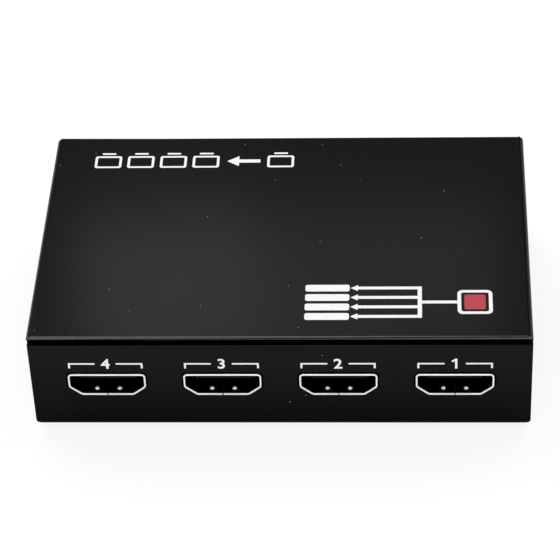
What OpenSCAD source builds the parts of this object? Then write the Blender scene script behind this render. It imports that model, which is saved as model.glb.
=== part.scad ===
// A one-input, four-output video splitter in a folded sheet metal case.
// The front panel with the four outputs faces -Y, +X is to the right of it and +Z is up.
// The origin is under the middle of the case, on the surface that the feet stand on.

/* [Case] */
// Distance between neighbouring output sockets, centre to centre
socket_pitch = 22; // [20:0.5:32]
// Case beyond the outer edge of the first and the last socket
socket_margin = 7.1; // [6.5:0.1:25]
// Depth of the cover, front to back
case_d = 60.5; // [58:0.5:100]
// Height from the underside of the tray to the top of the cover
case_h = 23.1; // [22:0.1:45]
// Thickness of the sheet metal
sheet_t = 0.8; // [0.8:0.1:1.4]
// Inside radius of the folds
fold_r = 0.2; // [0.1:0.1:0.8]
// How far the cover reaches past the end panels
cover_overhang = 0.3; // [0.2:0.1:2]
// Open slot between the cover and the top of an end panel
cover_reveal = 1.7; // [0.3:0.1:2]
// Clearance between the cover and the tray
cover_fit = 0.15; // [0.1:0.05:0.4]
// Height of the side walls above the underside of the tray
wall_lift = 0.3; // [0:0.1:1]
// Height of the end panels' lower corners above the underside of the tray
corner_lift = 0.6; // [0:0.1:0.8]
// Rounding of the end panels' lower corners
corner_r = 0.8; // [0.2:0.1:1]

/* [Cover screws] */
// Radius of the shank
cover_screw_r = 1.5; // [1.2:0.1:1.8]
// Length over all
cover_screw_l = 4; // [3.6:0.2:6]
// Distance from the middle of the case to a screw, along the depth
cover_screw_y = 18; // [14:0.5:21]
// Height above the underside of the tray
cover_screw_h = 13; // [12:0.5:15]
// How far the head lies below the face of the wall
cover_screw_sink = 0.05; // [0:0.05:0.2]
// Clearance round the head and the shank in the wall
cover_screw_fit = 0.1; // [0.05:0.05:0.3]
// Clearance of a screw in its thread
thread_fit = 0.05; // [0.02:0.01:0.1]
// Width of a screw tab
tab_w = 10; // [7:0.5:14]
// Height of a screw tab above its screw
tab_rise = 4; // [3:0.5:5]
// Notch beside a screw tab where it is folded up
tab_relief = 0.6; // [0.4:0.1:1]
// Depth of the cross slot in a screw
slot_depth = 0.8; // [0.5:0.05:1]
// Arm of the cross slot in a screw
slot_r = 1.4; // [1:0.05:1.6]
// Width of the cross slot in a screw
slot_w = 0.5; // [0.4:0.05:0.8]

/* [Feet] */
// Radius of a rubber foot
foot_r = 4; // [3:0.25:6]
// Height of a rubber foot
foot_h = 1.5; // [1:0.25:4]
// Narrowing of the foot towards the floor
foot_taper = 0.4; // [0.1:0.1:1]
// Distance of a foot's centre from the side of the tray
foot_inset_x = 12; // [10:0.5:16]
// Distance of a foot's centre from the end panel
foot_inset_y = 7.5; // [7:0.5:12]

/* [Circuit board] */
// Thickness of the board
board_t = 1.6; // [1:0.1:2]
// Clearance between the board and the case
board_fit = 0.4; // [0.2:0.1:1]
// Height of a standoff above the tray floor
standoff_h = 5.7; // [4:0.1:6]
// Radius of a standoff
standoff_r = 3; // [2.5:0.1:3.4]
// Radius of the riveted spigot in the tray floor
spigot_r = 2.1; // [2:0.1:2.4]
// Distance of a standoff from the board's side and rear edges
standoff_edge = 4; // [3.6:0.1:4.4]
// Distance of a front standoff behind the backs of the outputs
standoff_back = 5.5; // [4.5:0.25:7]
// Radius of a board screw's shank
board_screw_r = 1.5; // [1.2:0.1:1.7]
// Length of a board screw under its head
board_screw_l = 5; // [4:0.5:5.5]
// Radius of a board screw's head
board_screw_head_r = 2.75; // [2.3:0.05:2.9]
// Height of a board screw's head
board_screw_head_h = 1.8; // [1.2:0.1:2.4]
// Clearance of a hole in the board
board_hole_fit = 0.1; // [0.05:0.05:0.3]
// How far a lug or lead comes out under the board
lug_out = 0.8; // [0.3:0.1:1.5]

/* [Video sockets] */
// Width over the lip
socket_w = 14.8; // [14.4:0.1:16]
// Height over the lip
socket_h = 5.3; // [5.2:0.1:6]
// Width of the flat at the bottom of the mouth
socket_floor_w = 9.9; // [9:0.1:11]
// Height of the sloping shoulders
socket_shoulder_h = 2; // [1.8:0.1:2.3]
// Rounding of the upper corners
socket_top_r = 0.8; // [0.6:0.1:1.2]
// Rounding of the shoulders
socket_shoulder_r = 1; // [0.6:0.1:1.4]
// Wall of the shell
shell_t = 0.3; // [0.25:0.05:0.4]
// How much the lip is wider than the shell, all round
lip_out = 0.05; // [0.05:0.05:0.2]
// Length of the lip
lip_l = 0.5; // [0.3:0.1:0.6]
// Length of the shell, lip included
shell_l = 11.2; // [10.6:0.1:13]
// How far the lip stands out of the end panel
socket_proud = 0.25; // [0:0.05:0.4]
// Clearance round the lip in the end panel
cutout_fit = 0.3; // [0.15:0.05:0.6]
// Joint in the floor where the rolled shell meets itself
seam_w = 0.16; // [0.08:0.02:0.3]
// Width of a solder leg
leg_w = 1.8; // [1.2:0.1:2.2]
// Distance from the mouth to the front pair of legs
leg_front = 4; // [3.6:0.1:5]
// Distance from the mouth to the rear pair of legs
leg_rear = 9; // [7.8:0.1:9.2]

/* [Socket insides] */
// Distance from the mouth to the tip of the tongue
tongue_tip = 2.5; // [2.3:0.1:4]
// Width of the tongue
tongue_w = 10.6; // [10:0.1:11.4]
// Thickness of the tongue
tongue_t = 1.9; // [1.4:0.1:2]
// Height of the tongue above the middle of the mouth
tongue_lift = 0.35; // [0:0.05:0.5]
// Length of the block that closes the back of the shell
block_l = 2.6; // [2:0.1:3]
// Clearance between the block and the shell
block_fit = 0.05; // [0.02:0.01:0.1]
// Distance between neighbouring contacts
contact_pitch = 0.5; // [0.46:0.01:0.52]
// Width of a contact
contact_w = 0.3; // [0.2:0.02:0.34]
// Thickness of a contact
contact_t = 0.15; // [0.1:0.01:0.2]
// How far a contact stands out of the tongue
contact_proud = 0.03; // [0.01:0.01:0.06]
// Distance from the tip of the tongue to the contacts
contact_back = 0.7; // [0.4:0.1:1.5]
// Length of a contact's solder foot
contact_foot = 1; // [0.6:0.1:1.4]

/* [Sprung fingers] */
// Distance of a finger from the middle of the socket
finger_x = 2.15; // [1.6:0.05:2.9]
// Width of a finger
finger_w = 1.3; // [1:0.05:1.6]
// Thickness of a finger
finger_t = 0.15; // [0.15:0.01:0.25]
// Clearance between a finger's root and the board
finger_under = 0.05; // [0.03:0.01:0.1]
// Distance from the mouth to the free end
finger_tip = 0.8; // [0.75:0.05:1]
// Distance from the mouth to the root
finger_root = 7.2; // [6:0.1:8]
// Upward slope of a finger towards its free end, in degrees
finger_slope = 3; // [1:0.1:3.5]
// Clearance between a finger and its window
finger_fit = 0.15; // [0.1:0.01:0.2]
// Clearance between a finger and its window at the root
finger_root_fit = 0.04; // [0.03:0.01:0.08]
// Radius of the pressed bump at its foot
bump_r = 0.5; // [0.4:0.02:0.56]
// Radius of the flat on top of the bump
bump_top_r = 0.26; // [0.1:0.02:0.3]
// Height of the pressed bump
bump_h = 0.25; // [0.15:0.01:0.35]
// Distance from the mouth to the bump
bump_at = 1.4; // [1.4:0.05:2.2]

/* [Power jack] */
// Distance of the jack's axis from the left side of the case
jack_side = 17.5; // [15.5:0.5:18.5]
// Width of the housing
jack_w = 9; // [8.4:0.1:9.4]
// Height of the housing
jack_h = 11; // [10:0.1:12]
// Length of the housing behind the end panel
jack_l = 12.5; // [12:0.1:13.5]
// Height of the axis above the board
jack_axis_h = 6.5; // [6:0.1:6.8]
// Clearance between the housing and the end panel
jack_fit = 0.15; // [0.1:0.05:0.3]
// Radius of the round collar in the end panel
collar_r = 4; // [3.8:0.05:4.3]
// How far the collar stands out of the end panel
collar_proud = 0.2; // [0:0.05:0.35]
// Clearance round the collar
collar_fit = 0.2; // [0.1:0.05:0.4]
// Radius of the bore
jack_bore_r = 3.2; // [3:0.05:3.4]
// Depth of the bore from the mouth
jack_bore_l = 10; // [9.4:0.1:11]
// Radius of the centre pin
pin_r = 1.05; // [0.9:0.05:1.25]
// Distance from the mouth to the tip of the pin
pin_back = 1; // [0.5:0.1:1.5]
// Radius of the pin's root in the back wall
pin_root_r = 1.5; // [1.3:0.05:1.6]
// Clearance of the pin's root in the back wall
pin_fit = 0.03; // [0.02:0.01:0.08]
// Width of a solder lug
jack_lug_w = 2; // [1.6:0.1:2.4]
// Thickness of a solder lug
jack_lug_t = 0.4; // [0.3:0.05:0.5]
// Width of the sprung leaf
leaf_w = 2.4; // [1.8:0.1:2.6]
// Thickness of the sprung leaf
leaf_t = 0.3; // [0.2:0.02:0.4]
// Clearance round the leaf in its slot
leaf_fit = 0.3; // [0.2:0.05:0.5]
// Distance from the axis to the crown of the leaf
leaf_reach = 2.4; // [2.3:0.05:2.6]
// Distance from the axis to the root of the leaf
leaf_root = 4.2; // [3.9:0.1:4.5]
// Clearance between the root of the leaf and its lug
leaf_root_fit = 0.05; // [0.03:0.01:0.1]
// Distance from the front of the housing to the crown of the leaf
leaf_crown = 2.6; // [2.2:0.1:4]
// Distance from the front of the housing to the free end of the leaf
leaf_end = 1.2; // [1:0.1:1.6]
// Fall of the leaf from its crown to its free end
leaf_fall = 0.6; // [0.4:0.1:0.8]

/* [Power light] */
// Distance of the light from the jack's axis
light_gap = 13; // [11:0.5:15]
// Height of the light above the board
light_h = 6.5; // [4:0.5:8]
// Radius of the lens
light_r = 1.5; // [1.2:0.05:2]
// Width of the lens's flange beyond the lens
light_flange = 0.4; // [0.2:0.05:0.6]
// Thickness of the lens's flange
light_flange_t = 1; // [0.6:0.1:1.4]
// Length of the lens, flange included
light_l = 4.8; // [4:0.1:6]
// How far the lens stands out of the end panel
light_proud = 0.3; // [0.2:0.05:0.45]
// Clearance of the lens in the end panel
light_fit = 0.15; // [0.1:0.05:0.3]
// Thickness of a lead
lead_t = 0.5; // [0.4:0.05:0.6]
// Distance between the leads
lead_pitch = 2.54; // [1.8:0.02:2.54]

/* [Chip and heat sink] */
// Side of the splitter chip
chip_s = 10; // [9:0.5:12]
// Thickness of the splitter chip
chip_t = 1.4; // [1:0.1:2]
// Gap between the chip and the board
chip_gap = 0.1; // [0.05:0.05:0.2]
// Leads on each side of the chip
chip_leads = 16; // [8:1:16]
// Distance between neighbouring leads
chip_pitch = 0.5; // [0.5:0.01:0.54]
// Width of a lead
chip_lead_w = 0.24; // [0.16:0.02:0.3]
// Thickness of a lead
chip_lead_t = 0.16; // [0.1:0.02:0.2]
// Reach of a lead beyond the chip
chip_lead_l = 1; // [0.8:0.1:1.4]
// Distance of the chip in front of the middle of the case
chip_y = 1; // [0:0.5:3]
// Thickness of the thermal pad
pad_t = 0.5; // [0.3:0.1:1]
// Side of the heat sink
sink_s = 17; // [14:0.5:18]
// Height of the heat sink
sink_h = 7; // [5:0.5:7.5]
// Thickness of the heat sink's base
sink_base = 2; // [1:0.1:3]
// Fins on the heat sink
sink_fins = 6; // [3:1:8]
// Thickness of a fin
sink_fin_t = 1; // [0.6:0.1:1.2]

/* [Small parts] */
// Radius of a capacitor can
can_r = 3.15; // [2.5:0.05:3.3]
// Height of a capacitor can
can_h = 6.8; // [5:0.1:8]
// Side of a capacitor's base
can_base_s = 6.6; // [6.6:0.1:7]
// Height of a capacitor's base
can_base_h = 1; // [0.6:0.1:1.4]
// Side of the power inductor
coil_s = 7; // [5:0.25:8]
// Height of the power inductor
coil_h = 4; // [2:0.25:6]
// Corner cut of the power inductor
coil_cut = 1; // [0.5:0.1:1.5]
// Length of the crystal's can
crystal_l = 10.5; // [8:0.5:11.5]
// Width of the crystal's can
crystal_w = 4.6; // [3.5:0.1:5]
// Height of the crystal's can
crystal_h = 3.5; // [2.5:0.1:4.5]
// Length of a regulator's body
regulator_w = 6.5; // [6:0.1:7]
// Depth of a regulator's body
regulator_d = 3.5; // [3:0.1:4]
// Height of a regulator's body
regulator_h = 1.7; // [1.4:0.1:2]
// Length of a memory chip's body
memory_w = 4.9; // [4.5:0.1:6]
// Depth of a memory chip's body
memory_d = 3.9; // [3.4:0.1:4.2]
// Height of a memory chip's body
memory_h = 1.5; // [1.2:0.1:1.9]
// Reach of a small lead beyond its body
small_lead_l = 1.2; // [0.8:0.1:1.5]
// Thickness of a small lead
small_lead_t = 0.25; // [0.15:0.05:0.35]
// Length of a ceramic capacitor or a resistor
small_l = 1.6; // [1.2:0.1:1.8]
// Width of a ceramic capacitor or a resistor
small_w = 0.8; // [0.5:0.1:1]
// Height of a ceramic capacitor
ceramic_h = 0.8; // [0.5:0.1:1]
// Height of a resistor
resistor_h = 0.45; // [0.3:0.05:0.6]
// Length of a surge protector
surge_l = 2.5; // [2:0.1:3]
// Depth of a surge protector
surge_d = 1; // [0.8:0.1:1.2]
// Height of a surge protector
surge_h = 0.6; // [0.4:0.1:1]

/* [Board layout] */
// Distance of a surge protector behind a socket's contacts
surge_gap = 0.6; // [0.3:0.1:1.2]
// Distance of a surge protector from the middle of its socket
surge_x = 2.6; // [2:0.1:3.5]
// Distance of the resistors behind the surge protectors
resistor_gap = 1; // [0.4:0.1:1.4]
// Distance between neighbouring resistors
resistor_pitch = 1.5; // [1.2:0.05:1.5]
// Distance between neighbouring ceramic capacitors
ceramic_pitch = 2.2; // [1.4:0.1:3]
// Distance of the ceramic capacitors from the chip's leads
ceramic_gap = 0.8; // [0.4:0.1:1]
// Distance of the capacitors in front of the power jack's lugs
can_gap = 1.5; // [0.6:0.1:3]
// Distance between the two capacitors
can_pitch = 8.5; // [7:0.1:9]
// Distance of the power inductor from the heat sink
coil_gap = 6; // [1:0.5:8]
// Distance of the crystal from the heat sink
crystal_gap = 3; // [1:0.5:8]
// Distance of the crystal in front of the middle of the case
crystal_y = 5; // [3:0.5:7]
// Distance of the memory chips behind the middle of the case
memory_y = 5; // [3:0.5:7]
// Distance between the two memory chips
memory_pitch = 11; // [7:0.5:14]
// Distance between neighbouring leads of a memory chip
memory_lead_pitch = 1.27; // [1:0.01:1.27]
// Width of a memory chip's lead
memory_lead_w = 0.4; // [0.3:0.02:0.5]
// Distance between neighbouring leads of a regulator
regulator_lead_pitch = 2.3; // [2:0.05:2.3]
// Width of a regulator's lead
regulator_lead_w = 0.7; // [0.5:0.05:0.9]
// Width of a regulator's tab
regulator_tab_w = 3; // [2:0.1:4]
// Distance of the middle of the two regulators in front of the middle of the case
regulator_y = 4; // [3:0.5:4.5]
// Distance between the two regulators
regulator_pitch = 8; // [7.5:0.5:9]

/* [Hidden] */
$fn = 48;
// Cuts run this far past the faces that they open
past = 1;

// Heights
tray_z = foot_h;
floor_z = tray_z + sheet_t;
board_z = floor_z + standoff_h;
board_top = board_z + board_t;
socket_z = board_top + socket_h / 2 - lip_out;
cover_z = tray_z + case_h;
panel_top = cover_z - sheet_t - cover_reveal;
fold_out = fold_r + sheet_t;
cover_screw_z = tray_z + cover_screw_h;
jack_z = board_top + jack_axis_h;
light_z = board_top + light_h;

// Half depths, from the middle of the case outwards
cover_y = case_d / 2;
panel_out = cover_y - cover_overhang;
panel_in = panel_out - sheet_t;
wall_y = panel_in - cover_fit;
board_y = panel_in - board_fit;
mouth_y = panel_out + socket_proud;
socket_back_y = mouth_y - shell_l - contact_foot;

// Half widths
case_w = 3 * socket_pitch + socket_w + 2 * socket_margin;
cover_x = case_w / 2;
tray_x = cover_x - sheet_t - cover_fit;
board_x = tray_x - sheet_t - board_fit;
jack_x = cover_x - jack_side;
light_x = jack_x - light_gap;

// Places on the board
foot_x = tray_x - foot_inset_x;
foot_y = panel_out - foot_inset_y;
standoff_x = board_x - standoff_edge;
standoff_places = [
    for (side = [-1, 1], y = [standoff_back - mouth_y + shell_l, board_y - standoff_edge])
        [side * standoff_x, y]
];
output_x = [for (n = [1:4]) (2.5 - n) * socket_pitch];
input_x = socket_pitch / 2;
chip_top = board_top + chip_gap + chip_t;
sink_z = chip_top + pad_t;
jack_back_y = panel_in - jack_fit - jack_l - jack_lug_t;
can_y = jack_back_y - can_gap - can_base_s / 2;
can_places = [for (i = [0, 1]) [i * can_pitch - jack_x, can_y]];
coil_place = [-sink_s / 2 - coil_gap - coil_s / 2, -chip_y];
crystal_place = [sink_s / 2 + crystal_gap + crystal_l / 2, -crystal_y];
memory_places = [for (i = [0, 1]) [crystal_place.x + i * memory_pitch, memory_y]];
regulator_places = [for (i = [-0.5, 0.5]) [-jack_x, i * regulator_pitch - regulator_y]];
surge_y = surge_gap + surge_d / 2 - socket_back_y;
resistor_y = surge_y + surge_d / 2 + resistor_gap + small_l / 2;

// Corners of the mouth, counter-clockwise as seen from outside
mouth_corners = [
    [-socket_floor_w / 2, -socket_h / 2],
    [socket_floor_w / 2, -socket_h / 2],
    [socket_w / 2, socket_shoulder_h - socket_h / 2],
    [socket_w / 2, socket_h / 2],
    [-socket_w / 2, socket_h / 2],
    [-socket_w / 2, socket_shoulder_h - socket_h / 2]
];
mouth_radii = [
    socket_shoulder_r, socket_shoulder_r, socket_shoulder_r,
    socket_top_r, socket_top_r, socket_shoulder_r
];
// Wall of the shell at the lip
lip_t = shell_t + lip_out;
tongue_top = tongue_lift + tongue_t / 2;
tongue_floor = tongue_lift - tongue_t / 2;
// Underside of the shell, where it stands on the board
shell_floor = lip_out - socket_h / 2;
leg_x = socket_w / 2 - lip_out - shell_t;

function unit(v) = v / norm(v);
function left_of(v) = [-v.y, v.x];

// Outline with every edge moved inwards by t
function inset(p, t) = [
    for (i = [0:len(p) - 1])
        let (
            before = left_of(unit(p[i] - p[(i + len(p) - 1) % len(p)])),
            after = left_of(unit(p[(i + 1) % len(p)] - p[i]))
        )
        p[i] + t * (before + after) / (1 + before * after)
];

// Outline with an arc of radius r[i] in place of each corner
function rounded(p, r, steps = 8) = [
    for (i = [0:len(p) - 1])
        let (
            to_last = unit(p[(i + len(p) - 1) % len(p)] - p[i]),
            to_next = unit(p[(i + 1) % len(p)] - p[i]),
            half = acos(to_last * to_next) / 2,
            centre = p[i] + unit(to_last + to_next) * r[i] / sin(half),
            from = p[i] + to_last * r[i] / tan(half) - centre,
            start = atan2(from.y, from.x)
        )
        for (k = [0:steps])
            let (a = start + (180 - 2 * half) * k / steps)
            centre + r[i] * [cos(a), sin(a)]
];

function mouth_outline(t) = rounded(inset(mouth_corners, t), [for (r = mouth_radii) max(r - t, 0.1)]);

// An outline in X and Z, drawn out along Y from y
module along_y(y, l) {
    translate([0, y + l, 0])
        rotate([90, 0, 0])
            linear_extrude(l)
                children();
}

// An outline in Y and Z, drawn out along X from x
module along_x(x, l) {
    translate([x, 0, 0])
        rotate([90, 0, 90])
            linear_extrude(l)
                children();
}

// A box given by its low corner and its high corner
module span(low, high) {
    translate(low)
        cube(high - low);
}

// A plate of size s standing on the origin
module block(s) {
    translate([-s.x / 2, -s.y / 2, 0])
        cube(s);
}

// A w by h outline standing on the origin, with its two upper corners rounded
module arch(w, h, r) {
    translate([-w / 2, 0])
        square([w, h - r]);
    translate([r - w / 2, 0])
        square([w - 2 * r, h]);
    for (side = [-1, 1])
        translate([side * (w / 2 - r), h - r])
            circle(r);
}

// A cross slot for a screwdriver, cut down from the origin
module cross_slot() {
    for (turn = [0, 90])
        rotate(turn)
            translate([0, 0, -slot_depth])
                block([2 * slot_r, slot_w, slot_depth + past]);
}

// Places a piece of a socket whose mouth is at the origin and faces -Y
module at_output(n) {
    translate([output_x[n - 1], -mouth_y, socket_z])
        children();
}

module at_input() {
    translate([input_x, mouth_y, socket_z])
        rotate(180)
            children();
}

module at_sockets() {
    for (n = [1:4])
        at_output(n)
            children();
    at_input()
        children();
}

// Places a piece of the power jack, whose mouth is at the origin and faces -Y
module at_jack() {
    translate([-jack_x, panel_out + collar_proud, jack_z])
        rotate(180)
            children();
}

// Places a piece of the power light, whose tip is at the origin and faces -Y
module at_light() {
    translate([-light_x, panel_out + light_proud, light_z])
        rotate(180)
            children();
}

// Folded tray: the bottom, both end panels and four screw tabs
module base_tray() {
    color("#1b1b1e")
        difference() {
            union() {
                difference() {
                    along_x(-tray_x, 2 * tray_x)
                        difference() {
                            translate([0, panel_top])
                                mirror([0, 1])
                                    arch(2 * panel_out, panel_top - tray_z, fold_out);
                            translate([0, panel_top + past])
                                mirror([0, 1])
                                    arch(2 * panel_in, panel_top + past - floor_z, fold_r);
                        }
                    for (side = [-1, 1], y = [-1, 1])
                        translate([side * tray_x, y * cover_screw_y, tray_z - past])
                            block([2 * fold_out, tab_w + 2 * tab_relief, sheet_t + 2 * past]);
                }
                for (side = [-1, 1]) {
                    end_panel_wings(side);
                    for (y = [-1, 1])
                        screw_tab(side, y * cover_screw_y);
                }
            }
            at_sockets()
                along_y(-past, 3 * past + sheet_t)
                    polygon(mouth_outline(-cutout_fit));
            at_jack()
                along_y(-past, 3 * past + sheet_t)
                    circle(collar_r + collar_fit);
            at_light()
                along_y(-past, 3 * past + sheet_t)
                    circle(light_r + light_fit);
            for (p = standoff_places)
                translate([p.x, p.y, tray_z - past])
                    cylinder(r = spigot_r + thread_fit, h = sheet_t + 2 * past);
        }
}

// The end panels reach past the tray to the outer faces of the cover's walls, with rounded lower corners
module end_panel_wings(side) {
    for (face = [-1, 1])
        translate([0, face * (panel_out + panel_in) / 2, 0])
            along_y(-sheet_t / 2, sheet_t)
                intersection() {
                    translate([0, panel_top])
                        mirror([0, 1])
                            arch(case_w, panel_top - tray_z - corner_lift, corner_r);
                    translate([side * (tray_x + cover_x) / 2, cover_z / 2])
                        square([cover_x - tray_x, 2 * cover_z], center = true);
                }
}

// A tab folded up from the side of the tray, with a threaded hole for a cover screw
module screw_tab(side, y) {
    difference() {
        along_y(y - tab_w / 2, tab_w)
            intersection() {
                difference() {
                    translate([0, cover_screw_z + tab_rise])
                        mirror([0, 1])
                            arch(2 * tray_x, cover_screw_z + tab_rise - tray_z, fold_out);
                    translate([0, cover_screw_z + tab_rise + past])
                        mirror([0, 1])
                            arch(2 * (tray_x - sheet_t), cover_screw_z + tab_rise + past - floor_z, fold_r);
                }
                translate([side * tray_x, cover_z / 2])
                    square([4 * fold_out, 2 * cover_z], center = true);
            }
        translate([side * (tray_x + past), y, cover_screw_z])
            rotate([0, -side * 90, 0])
                cylinder(r = cover_screw_r + thread_fit, h = sheet_t + 2 * past);
    }
}

// Folded cover: the top and two side walls, which stop short of the end panels
module top_cover() {
    color("#202024")
        difference() {
            union() {
                along_y(-cover_y, case_d)
                    intersection() {
                        cover_outline();
                        translate([-cover_x, cover_z - fold_out])
                            square([case_w, fold_out]);
                    }
                along_y(-wall_y, 2 * wall_y)
                    cover_outline();
            }
            for (side = [-1, 1], y = [-1, 1])
                translate([side * cover_x, y * cover_screw_y, cover_screw_z])
                    rotate([0, side * 90, 0])
                        translate([0, 0, -cover_screw_sink])
                            countersink();
        }
}

module cover_outline() {
    difference() {
        translate([0, tray_z + wall_lift])
            arch(case_w, case_h - wall_lift, fold_out);
        translate([0, tray_z + wall_lift - past])
            arch(case_w - 2 * sheet_t, case_h - wall_lift + past - sheet_t, fold_r);
    }
}

// Hole for a countersunk screw whose head is at the origin
module countersink() {
    translate([0, 0, -sheet_t])
        cylinder(
            r1 = cover_screw_r + cover_screw_fit,
            r2 = cover_screw_r + cover_screw_fit + sheet_t,
            h = sheet_t
        );
    translate([0, 0, -sheet_t - past])
        cylinder(r = cover_screw_r + cover_screw_fit, h = sheet_t + past);
    translate([0, 0, 0])
        cylinder(r = cover_screw_r + cover_screw_fit + sheet_t, h = past);
}

module cover_screws() {
    color("#2a2a2e")
        for (side = [-1, 1], y = [-1, 1])
            translate([side * (cover_x - cover_screw_sink), y * cover_screw_y, cover_screw_z])
                rotate([0, side * 90, 0])
                    difference() {
                        union() {
                            translate([0, 0, -sheet_t])
                                cylinder(r1 = cover_screw_r, r2 = cover_screw_r + sheet_t, h = sheet_t);
                            translate([0, 0, -cover_screw_l])
                                cylinder(r = cover_screw_r, h = cover_screw_l);
                        }
                        cross_slot();
                    }
}

module rubber_feet() {
    color("#151516")
        for (x = [-1, 1], y = [-1, 1])
            translate([x * foot_x, y * foot_y, 0])
                cylinder(r1 = foot_r - foot_taper, r2 = foot_r, h = foot_h);
}

module circuit_board() {
    color("#0e3b24")
        difference() {
            span([-board_x, -board_y, board_z], [board_x, board_y, board_top]);
            for (p = standoff_places)
                translate([p.x, p.y, board_z - past])
                    cylinder(r = board_screw_r + board_hole_fit, h = board_t + 2 * past);
            at_sockets()
                shell_legs(board_hole_fit);
            at_jack() {
                pin_lug(board_hole_fit);
                leaf_lug(board_hole_fit);
            }
            at_light()
                light_leads(board_hole_fit);
        }
}

module standoffs() {
    color("#c9c3b4")
        for (p = standoff_places)
            translate([p.x, p.y, 0])
                difference() {
                    union() {
                        translate([0, 0, floor_z])
                            cylinder(r = standoff_r, h = standoff_h);
                        translate([0, 0, tray_z])
                            cylinder(r = spigot_r, h = sheet_t);
                    }
                    translate([0, 0, floor_z])
                        cylinder(r = board_screw_r + thread_fit, h = standoff_h + past);
                }
}

module board_screws() {
    color("#b9bcc2")
        for (p = standoff_places)
            translate([p.x, p.y, board_top])
                difference() {
                    union() {
                        cylinder(r = board_screw_head_r, h = board_screw_head_h);
                        translate([0, 0, -board_screw_l])
                            cylinder(r = board_screw_r, h = board_screw_l + board_screw_head_h);
                    }
                    translate([0, 0, board_screw_head_h])
                        cross_slot();
                }
}

// Rolled metal shell with a lip at the mouth, a joint in its floor and two windows for the fingers
module socket_shell() {
    color("#cfd0d2")
        difference() {
            union() {
                along_y(0, lip_l)
                    polygon(mouth_outline(0));
                along_y(0, shell_l)
                    polygon(mouth_outline(lip_out));
                shell_legs(0);
            }
            along_y(-past, shell_l + 2 * past)
                polygon(mouth_outline(lip_t));
            span(
                [-seam_w / 2, -past, -socket_h],
                [seam_w / 2, shell_l + past, 0]
            );
            for (side = [-1, 1])
                span(
                    [side * finger_x - finger_w / 2 - finger_fit, finger_tip - finger_fit, -socket_h],
                    [side * finger_x + finger_w / 2 + finger_fit, finger_root + finger_root_fit, 0]
                );
        }
}

// Four legs that go down through the board, or the slots for them when grown
module shell_legs(grow) {
    for (side = [-1, 1], y = [leg_front, leg_rear])
        translate([side * (leg_x + shell_t / 2), y, 0])
            span(
                [-shell_t / 2 - grow, -leg_w / 2 - grow, shell_floor - board_t - lug_out - grow],
                [shell_t / 2 + grow, leg_w / 2 + grow, socket_shoulder_h - socket_h / 2 + socket_shoulder_r]
            );
}

// Moulded block at the back of the shell, with the tongue that carries the contacts
module socket_insulator() {
    color("#1a1a1c")
        difference() {
            union() {
                along_y(shell_l - block_l, block_l)
                    polygon(mouth_outline(lip_t + block_fit));
                span(
                    [-tongue_w / 2, tongue_tip, tongue_floor],
                    [tongue_w / 2, shell_l, tongue_top]
                );
            }
            contact_strips(0);
        }
}

module socket_contacts() {
    color("#c8a24a")
        contact_strips(1);
}

// Nineteen strips, ten on top of the tongue and nine below it, bent down to the board behind the block
module contact_strips(tails) {
    for (i = [-9:9]) {
        above = abs(i) % 2 == 1;
        low = above ? tongue_top + contact_proud - contact_t : tongue_floor - contact_proud;
        bend = shell_l + contact_t;
        translate([i * contact_pitch, 0, 0]) {
            span(
                [-contact_w / 2, tongue_tip + contact_back, low],
                [contact_w / 2, bend + contact_t, low + contact_t]
            );
            if (tails > 0) {
                span(
                    [-contact_w / 2, bend, shell_floor],
                    [contact_w / 2, bend + contact_t, low + contact_t]
                );
                span(
                    [-contact_w / 2, bend, shell_floor],
                    [contact_w / 2, shell_l + contact_foot, shell_floor + contact_t]
                );
            }
        }
    }
}

// Two strips of the shell's own wall, each with a pressed bump near its free end
module socket_fingers() {
    color("#d6d7d9")
        for (side = [-1, 1])
            translate([side * finger_x, finger_root, shell_floor + finger_under + finger_t / 2])
                rotate([-finger_slope, 0, 0]) {
                    span(
                        [-finger_w / 2, finger_tip - finger_root, -finger_t / 2],
                        [finger_w / 2, 0, finger_t / 2]
                    );
                    translate([0, bump_at - finger_root, 0])
                        cylinder(h = finger_t / 2 + bump_h, r1 = bump_r, r2 = bump_top_r);
                }
}

module output_1_shell() {
    at_output(1) socket_shell();
}

module output_2_shell() {
    at_output(2) socket_shell();
}

module output_3_shell() {
    at_output(3) socket_shell();
}

module output_4_shell() {
    at_output(4) socket_shell();
}

module input_shell() {
    at_input() socket_shell();
}

module output_1_insulator() {
    at_output(1) socket_insulator();
}

module output_2_insulator() {
    at_output(2) socket_insulator();
}

module output_3_insulator() {
    at_output(3) socket_insulator();
}

module output_4_insulator() {
    at_output(4) socket_insulator();
}

module input_insulator() {
    at_input() socket_insulator();
}

module output_1_contacts() {
    at_output(1) socket_contacts();
}

module output_2_contacts() {
    at_output(2) socket_contacts();
}

module output_3_contacts() {
    at_output(3) socket_contacts();
}

module output_4_contacts() {
    at_output(4) socket_contacts();
}

module input_contacts() {
    at_input() socket_contacts();
}

module output_1_fingers() {
    at_output(1) socket_fingers();
}

module output_2_fingers() {
    at_output(2) socket_fingers();
}

module output_3_fingers() {
    at_output(3) socket_fingers();
}

module output_4_fingers() {
    at_output(4) socket_fingers();
}

module input_fingers() {
    at_input() socket_fingers();
}

// Power jack, measured from its mouth: the collar, then the housing behind the end panel
jack_front = collar_proud + sheet_t + jack_fit;
jack_rear = jack_front + jack_l;
leaf_root_y = jack_rear - 2 * jack_lug_t;
leaf_crown_y = jack_front + leaf_crown;
leaf_end_y = jack_front + leaf_end;

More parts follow.
